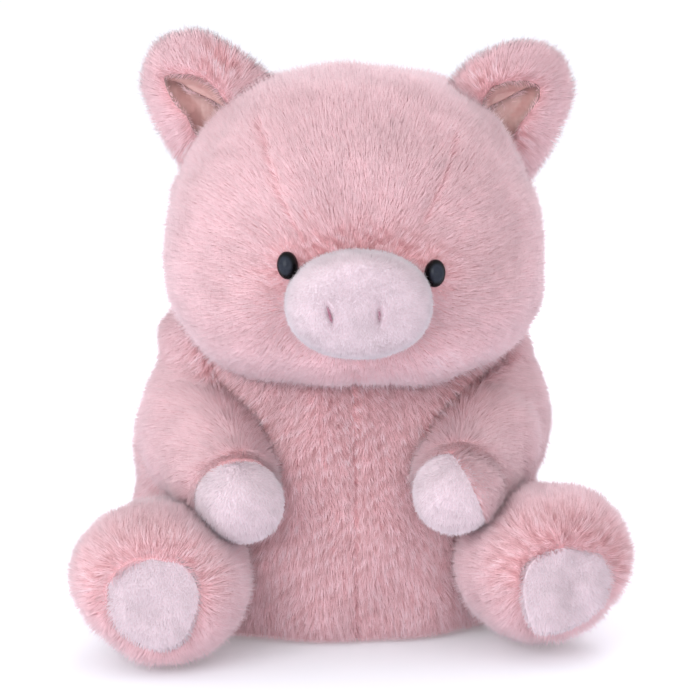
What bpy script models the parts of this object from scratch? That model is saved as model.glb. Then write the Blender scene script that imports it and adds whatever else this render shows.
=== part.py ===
"""Seated plush pig: sewn fur skins over stuffing, with plastic eyes, a weighted base and soft joints.

Metres, +Z up. The pig faces -Y, so its own left is +X. The origin is on the floor, in the middle
of the seated toy. Every skin is an open bag, and what it holds is a solid of its own inside it.
"""

import math

import bmesh
import bpy
import numpy as np
from mathutils import Matrix, Vector
from mathutils.bvhtree import BVHTree

# Running values shared by all pieces
GAP = 0.0003
SEAM_GAP = 0.0006
SKIN = 0.0060
OVERRUN = 0.0040
SPAN = 0.4000
FLOOR_CUT = 0.0005
SHARP_ANGLE = math.radians(50.0)
DOME_STEPS = 5

# Torso: pear of fur, flat where it sits
TORSO_HEIGHT = 0.1560
TORSO_WIDTH = 0.1940
TORSO_DEPTH = 0.1400
TORSO_Y = 0.0000
TORSO_SHARES = (
    (0.000, 0.740, 0.780, -0.030),
    (0.030, 0.850, 0.880, -0.030),
    (0.110, 0.940, 0.960, -0.035),
    (0.270, 0.990, 1.000, -0.040),
    (0.420, 1.000, 0.970, -0.025),
    (0.600, 0.970, 0.870, 0.000),
    (0.770, 0.950, 0.750, 0.020),
    (0.900, 0.860, 0.560, 0.030),
    (1.000, 0.400, 0.240, 0.030),
)
TORSO_SQUARENESS = 2.1
TORSO_SEGMENTS = 26
TORSO_RINGS = 14
TORSO_INNER_SEGMENTS = 16
TORSO_INNER_RINGS = 10

# Oval gusset that closes the torso from below
BASE_WIDTH = 0.0900
BASE_DEPTH = 0.0660
BASE_THICK = 0.0050
BASE_SEGMENTS = 24

# Bag of plastic pellets that gives the seat its weight
PELLET_HEIGHT = 0.0300
PELLET_MARGIN = 0.0120

# Neck: tilted plane on which the head sits, and the roll of stuffing across it
NECK_AHEAD = 0.0060
NECK_SINK = 0.0310
NECK_TILT = math.radians(12.0)
NECK_ROLL_RADIUS = 0.0240
NECK_ROLL_FOOT_SHARE = 0.86
NECK_ROLL_SHOULDER_SHARE = 0.60
NECK_ROLL_DOWN = 0.0150
NECK_ROLL_UP = 0.0080
NECK_SEGMENTS = 20
NECK_HOLE_CLEARANCE = 0.0030

# Head: broad rounded block, wider at the cheeks
HEAD_SINK = 0.0070
HEAD_HEIGHT = 0.1480
HEAD_WIDTH = 0.1830
HEAD_DEPTH = 0.1540
HEAD_X = 0.0060
HEAD_AHEAD = 0.0040
HEAD_SHARES = (
    (0.000, 0.440, 0.440, -0.060),
    (0.035, 0.610, 0.610, -0.060),
    (0.117, 0.805, 0.800, -0.060),
    (0.237, 0.950, 0.930, -0.050),
    (0.360, 1.000, 1.000, -0.035),
    (0.520, 0.985, 1.000, -0.010),
    (0.650, 0.945, 0.965, 0.010),
    (0.763, 0.870, 0.885, 0.025),
    (0.870, 0.740, 0.740, 0.035),
    (0.950, 0.540, 0.540, 0.040),
    (1.000, 0.180, 0.180, 0.040),
)
HEAD_SQUARENESS = 2.2
HEAD_SEGMENTS = 28
HEAD_RINGS = 16
HEAD_INNER_SEGMENTS = 18
HEAD_INNER_RINGS = 11

# Cup that the turning head sweeps, kept free by the arms
SWEEP_SHARES = ((0.00, 0.76), (0.16, 0.86), (0.52, 0.98), (1.00, 1.02))
SWEEP_HEIGHT = 0.0500
SWEEP_SEGMENTS = 32

# Snout: oval drum with a soft edge
SNOUT_WIDTH = 0.0660
SNOUT_HEIGHT = 0.0490
SNOUT_OUT = 0.0210
SNOUT_IN = 0.0160
SNOUT_ASIDE = 0.0034
SNOUT_RISE = 0.0470
SNOUT_PITCH = math.radians(4.0)
SNOUT_SHARES = (
    (0.000, 1.000),
    (0.450, 1.000),
    (0.700, 0.970),
    (0.870, 0.870),
    (0.960, 0.680),
    (1.000, 0.380),
)
SNOUT_SQUARENESS = 2.2
SNOUT_SEGMENTS = 24
SNOUT_INNER_SEGMENTS = 16
NOSTRIL_SPACING = 0.0220
NOSTRIL_X = -0.0033
NOSTRIL_DROP = 0.0030
NOSTRIL_LENGTH = 0.0060
NOSTRIL_THICK = 0.0012
NOSTRIL_SHARES = ((0.0, 1.0), (0.7, 0.85), (1.0, 0.4))
NOSTRIL_SEGMENTS = 10

# Plastic eyes: oval dome on a shank, held inside the skin by a washer
EYE_WIDTH = 0.0094
EYE_HEIGHT = 0.0126
EYE_DOME = 0.0045
EYE_FLANGE = 0.0012
EYE_PROUD = 0.0006
EYE_TILT = math.radians(8.0)
EYE_SPACING = 0.0660
EYE_ASIDE = 0.0020
EYE_RISE = 0.0620
EYE_LIFT_LEFT = -0.0020
EYE_LIFT_RIGHT = 0.0020
SHANK_RADIUS = 0.0016
SHANK_LENGTH = 0.0130
WASHER_RADIUS = 0.0070
WASHER_THICK = 0.0015
EYE_SEGMENTS = 14

# Ears: cupped fur back with a satin lining in the cup
EAR_HEIGHT = 0.0690
EAR_WIDTH = 0.0620
EAR_THICK = 0.0240
EAR_ASIDE = 0.0025
EAR_ROOT_WIDTH_SHARE = 0.552
EAR_ROOT_BACK = 0.0120
EAR_ROOT_HEIGHT_SHARE = 0.6825
EAR_LEFT_DROP = 0.0020
EAR_RIGHT_LIFT = 0.0020
EAR_LEAN = math.radians(40.0)
EAR_FACING = math.radians(14.0)
EAR_BACK_TILT = math.radians(4.0)
EAR_SHARES = (
    (0.00, 0.90),
    (0.20, 1.00),
    (0.42, 0.98),
    (0.62, 0.89),
    (0.80, 0.74),
    (0.93, 0.52),
    (1.00, 0.24),
)
EAR_FLAT_SHARE = 0.35
EAR_SEGMENTS = 18
EAR_RINGS = 9
EAR_HINGE_RISE = 0.0120
EAR_HINGE_BACK = 0.0140
EAR_CUP_SHARE = 0.62
EAR_CUP_TAPER_SHARE = 0.35
EAR_CUP_FROM_SHARE = 0.10
EAR_CUP_TO_SHARE = 0.80
EAR_CUP_DEPTH = 0.0075
LINING_THICK = 0.0016

# Arms: stubby, hanging forward and in over the flanks
ARM_THICK = 0.0580
ARM_TALL = 0.0600
ARM_ROOT_WIDTH_SHARE = 0.804
ARM_ROOT_DEPTH_SHARE = 0.229
ARM_ROOT_HEIGHT_SHARE = 0.641
ARM_INWARD = 0.0360
ARM_AHEAD = 0.1220
ARM_RIGHT_OUT = 0.0040
ARM_RIGHT_DROP = 0.0030
ARM_SHARES = (
    (0.000, 0.450, 0.450),
    (0.050, 0.740, 0.740),
    (0.160, 0.950, 0.960),
    (0.330, 1.000, 1.000),
    (0.560, 0.900, 0.830),
    (0.760, 0.760, 0.650),
    (0.890, 0.630, 0.530),
    (0.965, 0.430, 0.360),
    (1.000, 0.180, 0.150),
)
ARM_SEGMENTS = 16
ARM_RINGS = 10
ARM_INNER_SEGMENTS = 12
ARM_INNER_RINGS = 7
PAW_SHARE = 0.78

# Legs: short, forward and outward, with big round feet
LEG_THICK = 0.0780
LEG_TALL = 0.0720
LEG_ROOT_WIDTH_SHARE = 0.773
LEG_ROOT_DEPTH_SHARE = -0.229
LEG_OUTWARD = 0.0180
LEG_AHEAD = 0.0960
LEG_TIP_RISE = 0.0050
LEG_RIGHT_AHEAD = 0.0100
LEG_LEFT_OUT = 0.0040
LEG_LEFT_LIFT = 0.0070
LEG_SHARES = (
    (0.000, 0.500, 0.500),
    (0.060, 0.680, 0.680),
    (0.220, 0.840, 0.860),
    (0.420, 0.950, 0.970),
    (0.600, 1.000, 1.000),
    (0.780, 0.960, 0.960),
    (0.900, 0.850, 0.850),
    (0.970, 0.690, 0.690),
    (1.000, 0.520, 0.520),
)
LEG_SEGMENTS = 20
LEG_RINGS = 11
LEG_INNER_SEGMENTS = 14
LEG_INNER_RINGS = 8
SOLE_WIDTH = 0.0420
SOLE_HEIGHT = 0.0420
SOLE_DROP = 0.0040
SOLE_LEFT_DROP = 0.0045
SOLE_OUT = -0.0020
SOLE_DEPTH = 0.0160
SOLE_SEGMENTS = 20

# Tail: a small curl of fur at the back
TAIL_RADIUS = 0.0055
TAIL_CURL = 0.0090
TAIL_TURNS = 0.90
TAIL_RISE = 0.0100
TAIL_STEM = 0.0100
TAIL_HEIGHT_SHARE = 0.359
TAIL_TIP_SHARE = 0.65
TAIL_POINTS = 14
TAIL_CORNER_SEGMENTS = 2

# Joint places, each counted outward, back and up from the limb's root, and back from the neck
ARM_PIVOT_STEP = Vector((0.0120, 0.0190, 0.0250))
LEG_PIVOT_STEP = Vector((0.0210, 0.0220, 0.0030))
NOD_BACK = 0.0560

FUR_PINK = (0.780, 0.440, 0.460, 1.0)
PAD_PINK = (0.840, 0.620, 0.680, 1.0)
SATIN_BEIGE = (0.700, 0.420, 0.380, 1.0)
EYE_BLACK = (0.012, 0.012, 0.016, 1.0)
STUFFING_WHITE = (0.850, 0.850, 0.830, 1.0)
CANVAS_CREAM = (0.700, 0.640, 0.520, 1.0)
WASHER_WHITE = (0.800, 0.800, 0.800, 1.0)
THREAD_ROSE = (0.420, 0.190, 0.230, 1.0)
FUR_ROUGH = 0.95
STUFFING_ROUGH = 1.0
CANVAS_ROUGH = 0.8
THREAD_ROUGH = 0.8
SATIN_ROUGH = 0.5
WASHER_ROUGH = 0.4
EYE_ROUGH = 0.1


def clear_scene():
    for item in list(bpy.data.objects):
        bpy.data.objects.remove(item, do_unlink=True)


def finish_of(name, colour, roughness):
    """One material for one sub-part."""
    finish = bpy.data.materials.new(name + "_finish")
    finish.use_nodes = True
    shader = finish.node_tree.nodes["Principled BSDF"]
    shader.inputs["Base Color"].default_value = colour
    shader.inputs["Roughness"].default_value = roughness
    shader.inputs["Metallic"].default_value = 0.0
    return finish


def object_from_rings(name, rings, closed=False):
    """Body through rings of equal counts: faces close its ends, or the last ring meets the first."""
    shape = bmesh.new()
    loops = [[shape.verts.new(point) for point in ring] for ring in rings]
    count = len(loops[0])
    for low, high in zip(loops, loops[1:] + loops[:1] if closed else loops[1:]):
        for step in range(count):
            after = (step + 1) % count
            shape.faces.new((low[step], low[after], high[after], high[step]))
    if not closed:
        shape.faces.new(reversed(loops[0]))
        shape.faces.new(loops[-1])
    bmesh.ops.recalc_face_normals(shape, faces=shape.faces)
    mesh = bpy.data.meshes.new(name)
    shape.to_mesh(mesh)
    shape.free()
    item = bpy.data.objects.new(name, mesh)
    bpy.context.scene.collection.objects.link(item)
    mesh.shade_smooth()
    mesh.set_sharp_from_angle(angle=SHARP_ANGLE)
    return item


def smooth_rows(rows, count):
    """Rows of a share table, read at even steps along a smooth curve through them."""
    table = np.array(rows)
    places = np.linspace(0.0, 1.0, len(table))
    wanted = np.linspace(0.0, 1.0, count)
    slopes = np.gradient(table, places, axis=0)
    index = np.clip(np.searchsorted(places, wanted, side="right") - 1, 0, len(table) - 2)
    width = (places[index + 1] - places[index])[:, None]
    part = ((wanted - places[index])[:, None]) / width
    start, end = table[index], table[index + 1]
    rise, fall = slopes[index] * width, slopes[index + 1] * width
    square, cube = part**2, part**3
    return (
        start * (2 * cube - 3 * square + 1)
        + rise * (cube - 2 * square + part)
        + end * (3 * square - 2 * cube)
        + fall * (cube - square)
    )


def oval(centre, half_x, half_y, segments, squareness=2.0):
    """Points of a level oval; a squareness over 2 fills its corners."""
    points = []
    power = 2.0 / squareness
    for step in range(segments):
        angle = math.tau * (step + 0.5) / segments
        across, along = math.cos(angle), math.sin(angle)
        points.append(centre + Vector((
            math.copysign(abs(across) ** power, across) * half_x,
            math.copysign(abs(along) ** power, along) * half_y,
            0.0,
        )))
    return points


def upright_rings(low, height, width, depth, shares, place, segments, count, squareness, grow):
    """Level rings of a standing form: height, width, depth and forward shares of its sizes."""
    rings = []
    for rise, wide, deep, shift in smooth_rows(shares, count):
        centre = Vector((place[0], place[1] + shift * depth, low - grow + rise * (height + 2 * grow)))
        half_x = wide * (width / 2 + grow)
        half_y = deep * (depth / 2 + grow)
        rings.append(oval(centre, half_x, half_y, segments, squareness))
    return rings


def torso_form(name, grow=0.0, segments=TORSO_SEGMENTS, count=TORSO_RINGS):
    return object_from_rings(name, upright_rings(
        -FLOOR_CUT, TORSO_HEIGHT, TORSO_WIDTH, TORSO_DEPTH, TORSO_SHARES,
        (0.0, TORSO_Y), segments, count, TORSO_SQUARENESS, grow,
    ))


def torso_inner(name, inset):
    return torso_form(name, -inset, TORSO_INNER_SEGMENTS, TORSO_INNER_RINGS)


def neck_seat():
    """Middle of the plane between torso and head."""
    return Vector((HEAD_X, TORSO_Y - NECK_AHEAD, TORSO_HEIGHT - NECK_SINK))


def head_bottom():
    return neck_seat().z - HEAD_SINK


def head_y():
    return neck_seat().y - HEAD_AHEAD


def head_form(name, grow=0.0, segments=HEAD_SEGMENTS, count=HEAD_RINGS):
    return object_from_rings(name, upright_rings(
        head_bottom(), HEAD_HEIGHT, HEAD_WIDTH, HEAD_DEPTH, HEAD_SHARES,
        (HEAD_X, head_y()), segments, count, HEAD_SQUARENESS, grow,
    ))


def head_inner(name, inset):
    return head_form(name, -inset, HEAD_INNER_SEGMENTS, HEAD_INNER_RINGS)


def limb_form(name, line, thick, tall, shares, segments, count, grow):
    """Form that swells and tapers along the line from root to tip."""
    root, tip = line
    place = outward_place(root, tip - root)
    length = (tip - root).length
    rings = []
    for along, wide, high in smooth_rows(shares, count):
        reach = along * (length + 2 * grow) - grow
        centre = Vector((0.0, 0.0, reach))
        ring = oval(centre, wide * (thick / 2 + grow), high * (tall / 2 + grow), segments)
        rings.append([place @ point for point in ring])
    return object_from_rings(name, rings)


def arm_line(side):
    """Root and tip of one arm, with the paw level with the leg's top; the right one hangs lower."""
    x = ARM_ROOT_WIDTH_SHARE * TORSO_WIDTH / 2
    y = TORSO_Y + ARM_ROOT_DEPTH_SHARE * TORSO_DEPTH / 2
    root = Vector((side * x, y, ARM_ROOT_HEIGHT_SHARE * TORSO_HEIGHT))
    tip = Vector((side * (x - ARM_INWARD), y - ARM_AHEAD, LEG_TALL))
    if side < 0:
        tip += Vector((-ARM_RIGHT_OUT, 0.0, -ARM_RIGHT_DROP))
    return root, tip


def leg_line(side):
    """Root and tip of one leg; the right foot lies further ahead, the left one turns out more."""
    middle = LEG_TALL / 2 - FLOOR_CUT
    x = LEG_ROOT_WIDTH_SHARE * TORSO_WIDTH / 2
    y = TORSO_Y + LEG_ROOT_DEPTH_SHARE * TORSO_DEPTH / 2
    root = Vector((side * x, y, middle - LEG_TIP_RISE / 2))
    tip = Vector((side * (x + LEG_OUTWARD), y - LEG_AHEAD, middle + LEG_TIP_RISE / 2))
    if side < 0:
        tip += Vector((0.0, -LEG_RIGHT_AHEAD, 0.0))
    else:
        tip += Vector((LEG_LEFT_OUT, 0.0, LEG_LEFT_LIFT))
    return root, tip


def arm_form(name, side, grow=0.0, segments=ARM_SEGMENTS, count=ARM_RINGS):
    return limb_form(name, arm_line(side), ARM_THICK, ARM_TALL, ARM_SHARES, segments, count, grow)


def arm_inner(name, side, inset):
    return arm_form(name, side, -inset, ARM_INNER_SEGMENTS, ARM_INNER_RINGS)


def leg_form(name, side, grow=0.0, segments=LEG_SEGMENTS, count=LEG_RINGS):
    return limb_form(name, leg_line(side), LEG_THICK, LEG_TALL, LEG_SHARES, segments, count, grow)


def leg_inner(name, side, inset):
    return leg_form(name, side, -inset, LEG_INNER_SEGMENTS, LEG_INNER_RINGS)


def as_cutter(item):
    item.hide_render = True
    item.display_type = "WIRE"
    return item


def shape_by(item, cutter, operation="DIFFERENCE"):
    step = item.modifiers.new(operation.lower() + "_" + cutter.name, "BOOLEAN")
    step.operation = operation
    step.solver = "EXACT"
    step.object = cutter


def half_space(name, point, normal):
    """Block whose one face lies on a plane, reaching away along the normal."""
    turn = normal.to_track_quat("Z", "Y").to_matrix().to_4x4()
    place = Matrix.Translation(point) @ turn
    corners = [(-SPAN, -SPAN), (SPAN, -SPAN), (SPAN, SPAN), (-SPAN, SPAN)]
    rings = [[place @ Vector((x, y, z)) for x, y in corners] for z in (0.0, SPAN)]
    return as_cutter(object_from_rings(name, rings))


def turned_rings(place, rows, segments, squash=1.0):
    """Rings about a line: each row gives the place along it and the radius."""
    rings = []
    for along, radius in rows:
        ring = oval(Vector((0.0, 0.0, along)), radius, radius * squash, segments)
        rings.append([place @ point for point in ring])
    return rings


def dome_shares():
    """Height and width shares up a quarter circle, short of its pole."""
    angles = [math.tau / 4 * step / DOME_STEPS for step in range(DOME_STEPS)]
    return [(math.sin(angle), math.cos(angle)) for angle in angles]


def neck_place():
    """Frame of the neck: its Z is square to the plane that the head sits on."""
    return Matrix.Translation(neck_seat()) @ Matrix.Rotation(NECK_TILT, 4, "X")


def neck_normal():
    return (neck_place().to_3x3() @ Vector((0.0, 0.0, 1.0))).normalized()


def dress(item, colour, roughness):
    item.data.materials.append(finish_of(item.name, colour, roughness))
    return item


def make_torso(cutters):
    """Torso skin with its neck and seat openings, the seat gusset, the pellets and the stuffing."""
    skin = dress(torso_form("torso_skin"), FUR_PINK, FUR_ROUGH)
    shape_by(skin, cutters["floor"])
    shape_by(skin, cutters["head_sweep"])
    cavity = as_cutter(torso_inner("torso_cavity", SKIN))
    shape_by(cavity, cutters["yoke"])
    shape_by(skin, cavity)
    shape_by(skin, cutters["neck_hole"])
    seat = as_cutter(base_plate("seat_hole", SEAM_GAP, OVERRUN))
    shape_by(skin, seat)

    panel = dress(base_plate("base_panel", 0.0, 0.0), FUR_PINK, FUR_ROUGH)

    stuffing = dress(torso_inner("torso_stuffing", SKIN + SEAM_GAP), STUFFING_WHITE, STUFFING_ROUGH)
    shape_by(stuffing, cutters["yoke_inner"])
    shape_by(stuffing, cutters["neck_hole"])
    pellet_top = SKIN + PELLET_HEIGHT
    cut_top = Vector((0.0, 0.0, pellet_top + SEAM_GAP))
    below = half_space("below_stuffing", cut_top, Vector((0.0, 0.0, -1.0)))
    shape_by(stuffing, below)

    bag = dress(torso_inner("pellet_bag", PELLET_MARGIN), CANVAS_CREAM, CANVAS_ROUGH)
    above = half_space("above_pellets", Vector((0.0, 0.0, pellet_top)), Vector((0.0, 0.0, 1.0)))
    shape_by(bag, above)
    return [skin, panel, stuffing, bag]


def base_plate(name, grow, extra):
    """Oval plate in the seat, with its flat face on the floor."""
    shift = TORSO_SHARES[0][3] * TORSO_DEPTH
    rings = []
    for z in (-extra, BASE_THICK + extra):
        centre = Vector((0.0, TORSO_Y + shift, z))
        rings.append(oval(centre, BASE_WIDTH / 2 + grow, BASE_DEPTH / 2 + grow, BASE_SEGMENTS))
    return object_from_rings(name, rings)


def make_neck():
    """Roll of stuffing that fills the neck, rounded above so that the head can rock on it."""
    rows = [
        (-NECK_ROLL_DOWN, NECK_ROLL_RADIUS * NECK_ROLL_FOOT_SHARE),
        (-NECK_ROLL_DOWN * NECK_ROLL_SHOULDER_SHARE, NECK_ROLL_RADIUS),
    ]
    for rise, share in dome_shares():
        rows.append((NECK_ROLL_UP * rise, NECK_ROLL_RADIUS * share))
    roll = object_from_rings("neck_roll", turned_rings(neck_place(), rows, NECK_SEGMENTS))
    return [dress(roll, STUFFING_WHITE, STUFFING_ROUGH)]


def make_head(cutters):
    skin = dress(head_form("head_skin"), FUR_PINK, FUR_ROUGH)
    shape_by(skin, cutters["below_head"])
    cavity = as_cutter(head_inner("head_cavity", SKIN))
    shape_by(cavity, cutters["below_head_cavity"])
    shape_by(skin, cavity)
    shape_by(skin, cutters["head_hole"])
    stuffing = dress(head_inner("head_stuffing", SKIN + SEAM_GAP), STUFFING_WHITE, STUFFING_ROUGH)
    shape_by(stuffing, cutters["below_head_stuffing"])
    shape_by(stuffing, cutters["head_hole"])
    return [skin, stuffing]


def face_point(tree, x, z):
    """Point of the face at a place across and up, with its outward direction."""
    point, normal, _, _ = tree.ray_cast(Vector((x, -SPAN, z)), Vector((0.0, 1.0, 0.0)))
    return point, normal


def tree_of(item):
    shape = bmesh.new()
    shape.from_mesh(item.data)
    tree = BVHTree.FromBMesh(shape)
    shape.free()
    return tree


def outward_place(point, direction, roll=0.0):
    """Frame whose Z leads out of the face and whose Y leads up."""
    out = direction.normalized()
    across = Vector((0.0, 0.0, 1.0)).cross(out).normalized()
    up = out.cross(across)
    turn = Matrix((across, up, out)).transposed().to_4x4()
    return Matrix.Translation(point) @ turn @ Matrix.Rotation(roll, 4, "Z")


def snout_place(tree):
    point, _ = face_point(tree, HEAD_X - SNOUT_ASIDE, head_bottom() + SNOUT_RISE)
    ahead = Vector((0.0, -math.cos(SNOUT_PITCH), math.sin(SNOUT_PITCH)))
    return outward_place(point, ahead)


def snout_rings(place, grow, segments):
    rings = []
    for along, share in SNOUT_SHARES:
        reach = along * (SNOUT_OUT + SNOUT_IN + grow) - SNOUT_IN
        half_x = share * (SNOUT_WIDTH / 2 + grow)
        half_y = share * (SNOUT_HEIGHT / 2 + grow)
        ring = oval(Vector((0.0, 0.0, reach)), half_x, half_y, segments, SNOUT_SQUARENESS)
        rings.append([place @ point for point in ring])
    return rings


def make_snout(tree):
    place = snout_place(tree)
    head_cut = as_cutter(head_form("head_for_snout", SEAM_GAP))
    cover_rings = snout_rings(place, 0.0, SNOUT_SEGMENTS)
    cover = dress(object_from_rings("snout_cover", cover_rings), PAD_PINK, FUR_ROUGH)
    cavity_rings = snout_rings(place, -SKIN / 2, SNOUT_INNER_SEGMENTS)
    cavity = as_cutter(object_from_rings("snout_cavity", cavity_rings))
    filling_rings = snout_rings(place, -SKIN / 2 - SEAM_GAP, SNOUT_INNER_SEGMENTS)
    filling = dress(object_from_rings("snout_stuffing", filling_rings), STUFFING_WHITE, STUFFING_ROUGH)
    shape_by(cover, head_cut)
    shape_by(cover, cavity)
    shape_by(filling, head_cut)
    return [cover, filling] + [make_nostril(place, side) for side in (-1, 1)]


def make_nostril(place, side):
    """Bar of stitches on the snout's front; its side is the pig's own."""
    name = "nostril_stitch_left" if side > 0 else "nostril_stitch_right"
    middle = Vector((NOSTRIL_X + side * NOSTRIL_SPACING / 2, -NOSTRIL_DROP, SNOUT_OUT + GAP))
    rings = []
    for along, share in NOSTRIL_SHARES:
        centre = middle + Vector((0.0, 0.0, along * NOSTRIL_THICK))
        ring = oval(centre, share * NOSTRIL_THICK, share * NOSTRIL_LENGTH / 2, NOSTRIL_SEGMENTS)
        rings.append([place @ point for point in ring])
    return dress(object_from_rings(name, rings), THREAD_ROSE, THREAD_ROUGH)


def eye_place(tree, side):
    lift = EYE_LIFT_LEFT if side > 0 else EYE_LIFT_RIGHT
    x = HEAD_X - EYE_ASIDE + side * EYE_SPACING / 2
    point, normal = face_point(tree, x, head_bottom() + EYE_RISE + lift)
    return outward_place(point + normal * EYE_PROUD, normal, -side * EYE_TILT)


def eye_rings(place, grow):
    """Shank, flange and dome of one eye, from its inner end outward."""
    rows = [(-SHANK_LENGTH - grow, SHANK_RADIUS + grow, SHANK_RADIUS + grow)]
    rows.append((-EYE_FLANGE - grow, SHANK_RADIUS + grow, SHANK_RADIUS + grow))
    half_x, half_y = EYE_WIDTH / 2 + grow, EYE_HEIGHT / 2 + grow
    rows.append((-EYE_FLANGE - grow, half_x, half_y))
    for rise, share in dome_shares():
        rows.append(((EYE_DOME + grow) * rise, half_x * share, half_y * share))
    rings = []
    for along, wide, high in rows:
        ring = oval(Vector((0.0, 0.0, along)), wide, high, EYE_SEGMENTS)
        rings.append([place @ point for point in ring])
    return rings


def washer_rings(place):
    """Profile of the washer, taken round its bore and back, as rings about the shank."""
    outer, inner = WASHER_RADIUS, SHANK_RADIUS + GAP
    back = -SKIN - WASHER_THICK
    rows = [(back, outer), (-SKIN, outer), (-SKIN, inner), (back, inner)]
    return turned_rings(place, rows, EYE_SEGMENTS)


def make_eye(tree, side, head, cover):
    """Eye and washer of one side, with their seats in the head and beside the snout."""
    label = "left" if side > 0 else "right"
    place = eye_place(tree, side)
    eye = dress(object_from_rings("eye_" + label, eye_rings(place, 0.0)), EYE_BLACK, EYE_ROUGH)
    washer = object_from_rings("eye_washer_" + label, washer_rings(place), closed=True)
    dress(washer, WASHER_WHITE, WASHER_ROUGH)
    seat = as_cutter(object_from_rings("eye_seat_" + label, eye_rings(place, GAP)))
    rows = [(-SKIN - WASHER_THICK - GAP, WASHER_RADIUS + GAP), (-SKIN + GAP, WASHER_RADIUS + GAP)]
    pocket = as_cutter(object_from_rings("washer_seat_" + label, turned_rings(place, rows, EYE_SEGMENTS)))
    for item in head:
        shape_by(item, seat)
        shape_by(item, pocket)
    shape_by(cover, seat)
    return [eye, washer]


def ear_root(side):
    lift = -EAR_LEFT_DROP if side > 0 else EAR_RIGHT_LIFT
    x = HEAD_X + EAR_ASIDE + side * EAR_ROOT_WIDTH_SHARE * HEAD_WIDTH / 2
    z = head_bottom() + EAR_ROOT_HEIGHT_SHARE * HEAD_HEIGHT + lift
    return Vector((x, head_y() + EAR_ROOT_BACK, z))


def ear_place(side):
    """Frame of one ear at its root: Z leads up the ear, -Y leads out of its cup."""
    root = Matrix.Translation(ear_root(side))
    lean = Matrix.Rotation(side * EAR_LEAN, 4, "Y")
    tilt = Matrix.Rotation(-EAR_BACK_TILT, 4, "X")
    facing = Matrix.Rotation(side * EAR_FACING, 4, "Z")
    return root @ lean @ tilt @ facing


def ear_rings(place, grow, segments, count):
    rings = []
    for rise, wide in smooth_rows(EAR_SHARES, count):
        centre = Vector((0.0, 0.0, rise * EAR_HEIGHT))
        half_x = wide * (EAR_WIDTH / 2 + grow)
        deep = EAR_FLAT_SHARE + (1.0 - EAR_FLAT_SHARE) * wide
        half_y = deep * (EAR_THICK / 2 + grow)
        ring = oval(centre, half_x, half_y, segments)
        rings.append([place @ point for point in ring])
    return rings


def cup_rings(place, front, back, grow):
    """Rounded wedge in the front of the ear, from its front plane to the back plane given."""
    low, high = EAR_CUP_FROM_SHARE * EAR_HEIGHT, EAR_CUP_TO_SHARE * EAR_HEIGHT
    middle = (low + high) / 2
    half_x = EAR_CUP_SHARE * EAR_WIDTH / 2 + grow
    half_z = (high - low) / 2 + grow
    rings = []
    for y in (back + grow, front - grow):
        points = []
        for step in range(EAR_SEGMENTS):
            angle = math.tau * (step + 0.5) / EAR_SEGMENTS
            rise = math.sin(angle)
            taper = 1.0 - EAR_CUP_TAPER_SHARE * (1.0 - rise) / 2
            points.append(place @ Vector((math.cos(angle) * half_x * taper, y, middle + rise * half_z)))
        rings.append(points)
    return rings


def make_ear(side, head_cut):
    label = "left" if side > 0 else "right"
    place = ear_place(side)
    front = -EAR_THICK / 2
    back_rings = ear_rings(place, 0.0, EAR_SEGMENTS, EAR_RINGS)
    back = dress(object_from_rings("ear_back_" + label, back_rings), FUR_PINK, FUR_ROUGH)
    floor = front + EAR_CUP_DEPTH
    cup = as_cutter(object_from_rings("ear_cup_" + label, cup_rings(place, front - OVERRUN, floor, 0.0)))
    lining_rings = cup_rings(place, floor - GAP - LINING_THICK, floor - GAP, -GAP)
    lining = dress(object_from_rings("ear_lining_" + label, lining_rings), SATIN_BEIGE, SATIN_ROUGH)
    shape_by(back, cup)
    shape_by(back, head_cut)
    shape_by(lining, head_cut)
    return [back, lining]


def make_arm(side, cutters):
    """Arm skin open at the shoulder, its paw cap and its stuffing."""
    label = "left" if side > 0 else "right"
    root, tip = arm_line(side)
    ahead = (tip - root).normalized()
    wrist = root + (tip - root) * PAW_SHARE
    skin = dress(arm_form("arm_skin_" + label, side), FUR_PINK, FUR_ROUGH)
    paw = dress(arm_form("paw_pad_" + label, side), PAD_PINK, FUR_ROUGH)
    filling = arm_inner("arm_stuffing_" + label, side, SKIN + SEAM_GAP)
    dress(filling, STUFFING_WHITE, STUFFING_ROUGH)
    cavity = as_cutter(arm_inner("arm_cavity_" + label, side, SKIN))
    shape_by(cavity, cutters["leg_wall_" + label])
    shape_by(cavity, cutters["yoke"])
    beyond = half_space("beyond_wrist_" + label, wrist - ahead * SEAM_GAP / 2, ahead)
    before = half_space("before_wrist_" + label, wrist + ahead * SEAM_GAP / 2, -ahead)
    shape_by(skin, beyond)
    shape_by(paw, before)
    for item in (skin, paw):
        shape_by(item, cutters["leg_" + label])
        shape_by(item, cavity)
        shape_by(item, cutters["torso"])
    shape_by(skin, cutters["head_sweep"])
    shape_by(filling, cutters["leg_inner_" + label])
    shape_by(filling, cutters["yoke_inner"])
    shape_by(filling, cutters["torso"])
    return [skin, paw, filling]


def sole_rings(side, grow, start, end):
    root, tip = leg_line(side)
    place = outward_place(tip, tip - root)
    drop = SOLE_DROP + (SOLE_LEFT_DROP if side > 0 else 0.0)
    rings = []
    for along in (start, end):
        centre = Vector((side * SOLE_OUT, -drop, along))
        ring = oval(centre, SOLE_WIDTH / 2 + grow, SOLE_HEIGHT / 2 + grow, SOLE_SEGMENTS)
        rings.append([place @ point for point in ring])
    return rings


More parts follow.
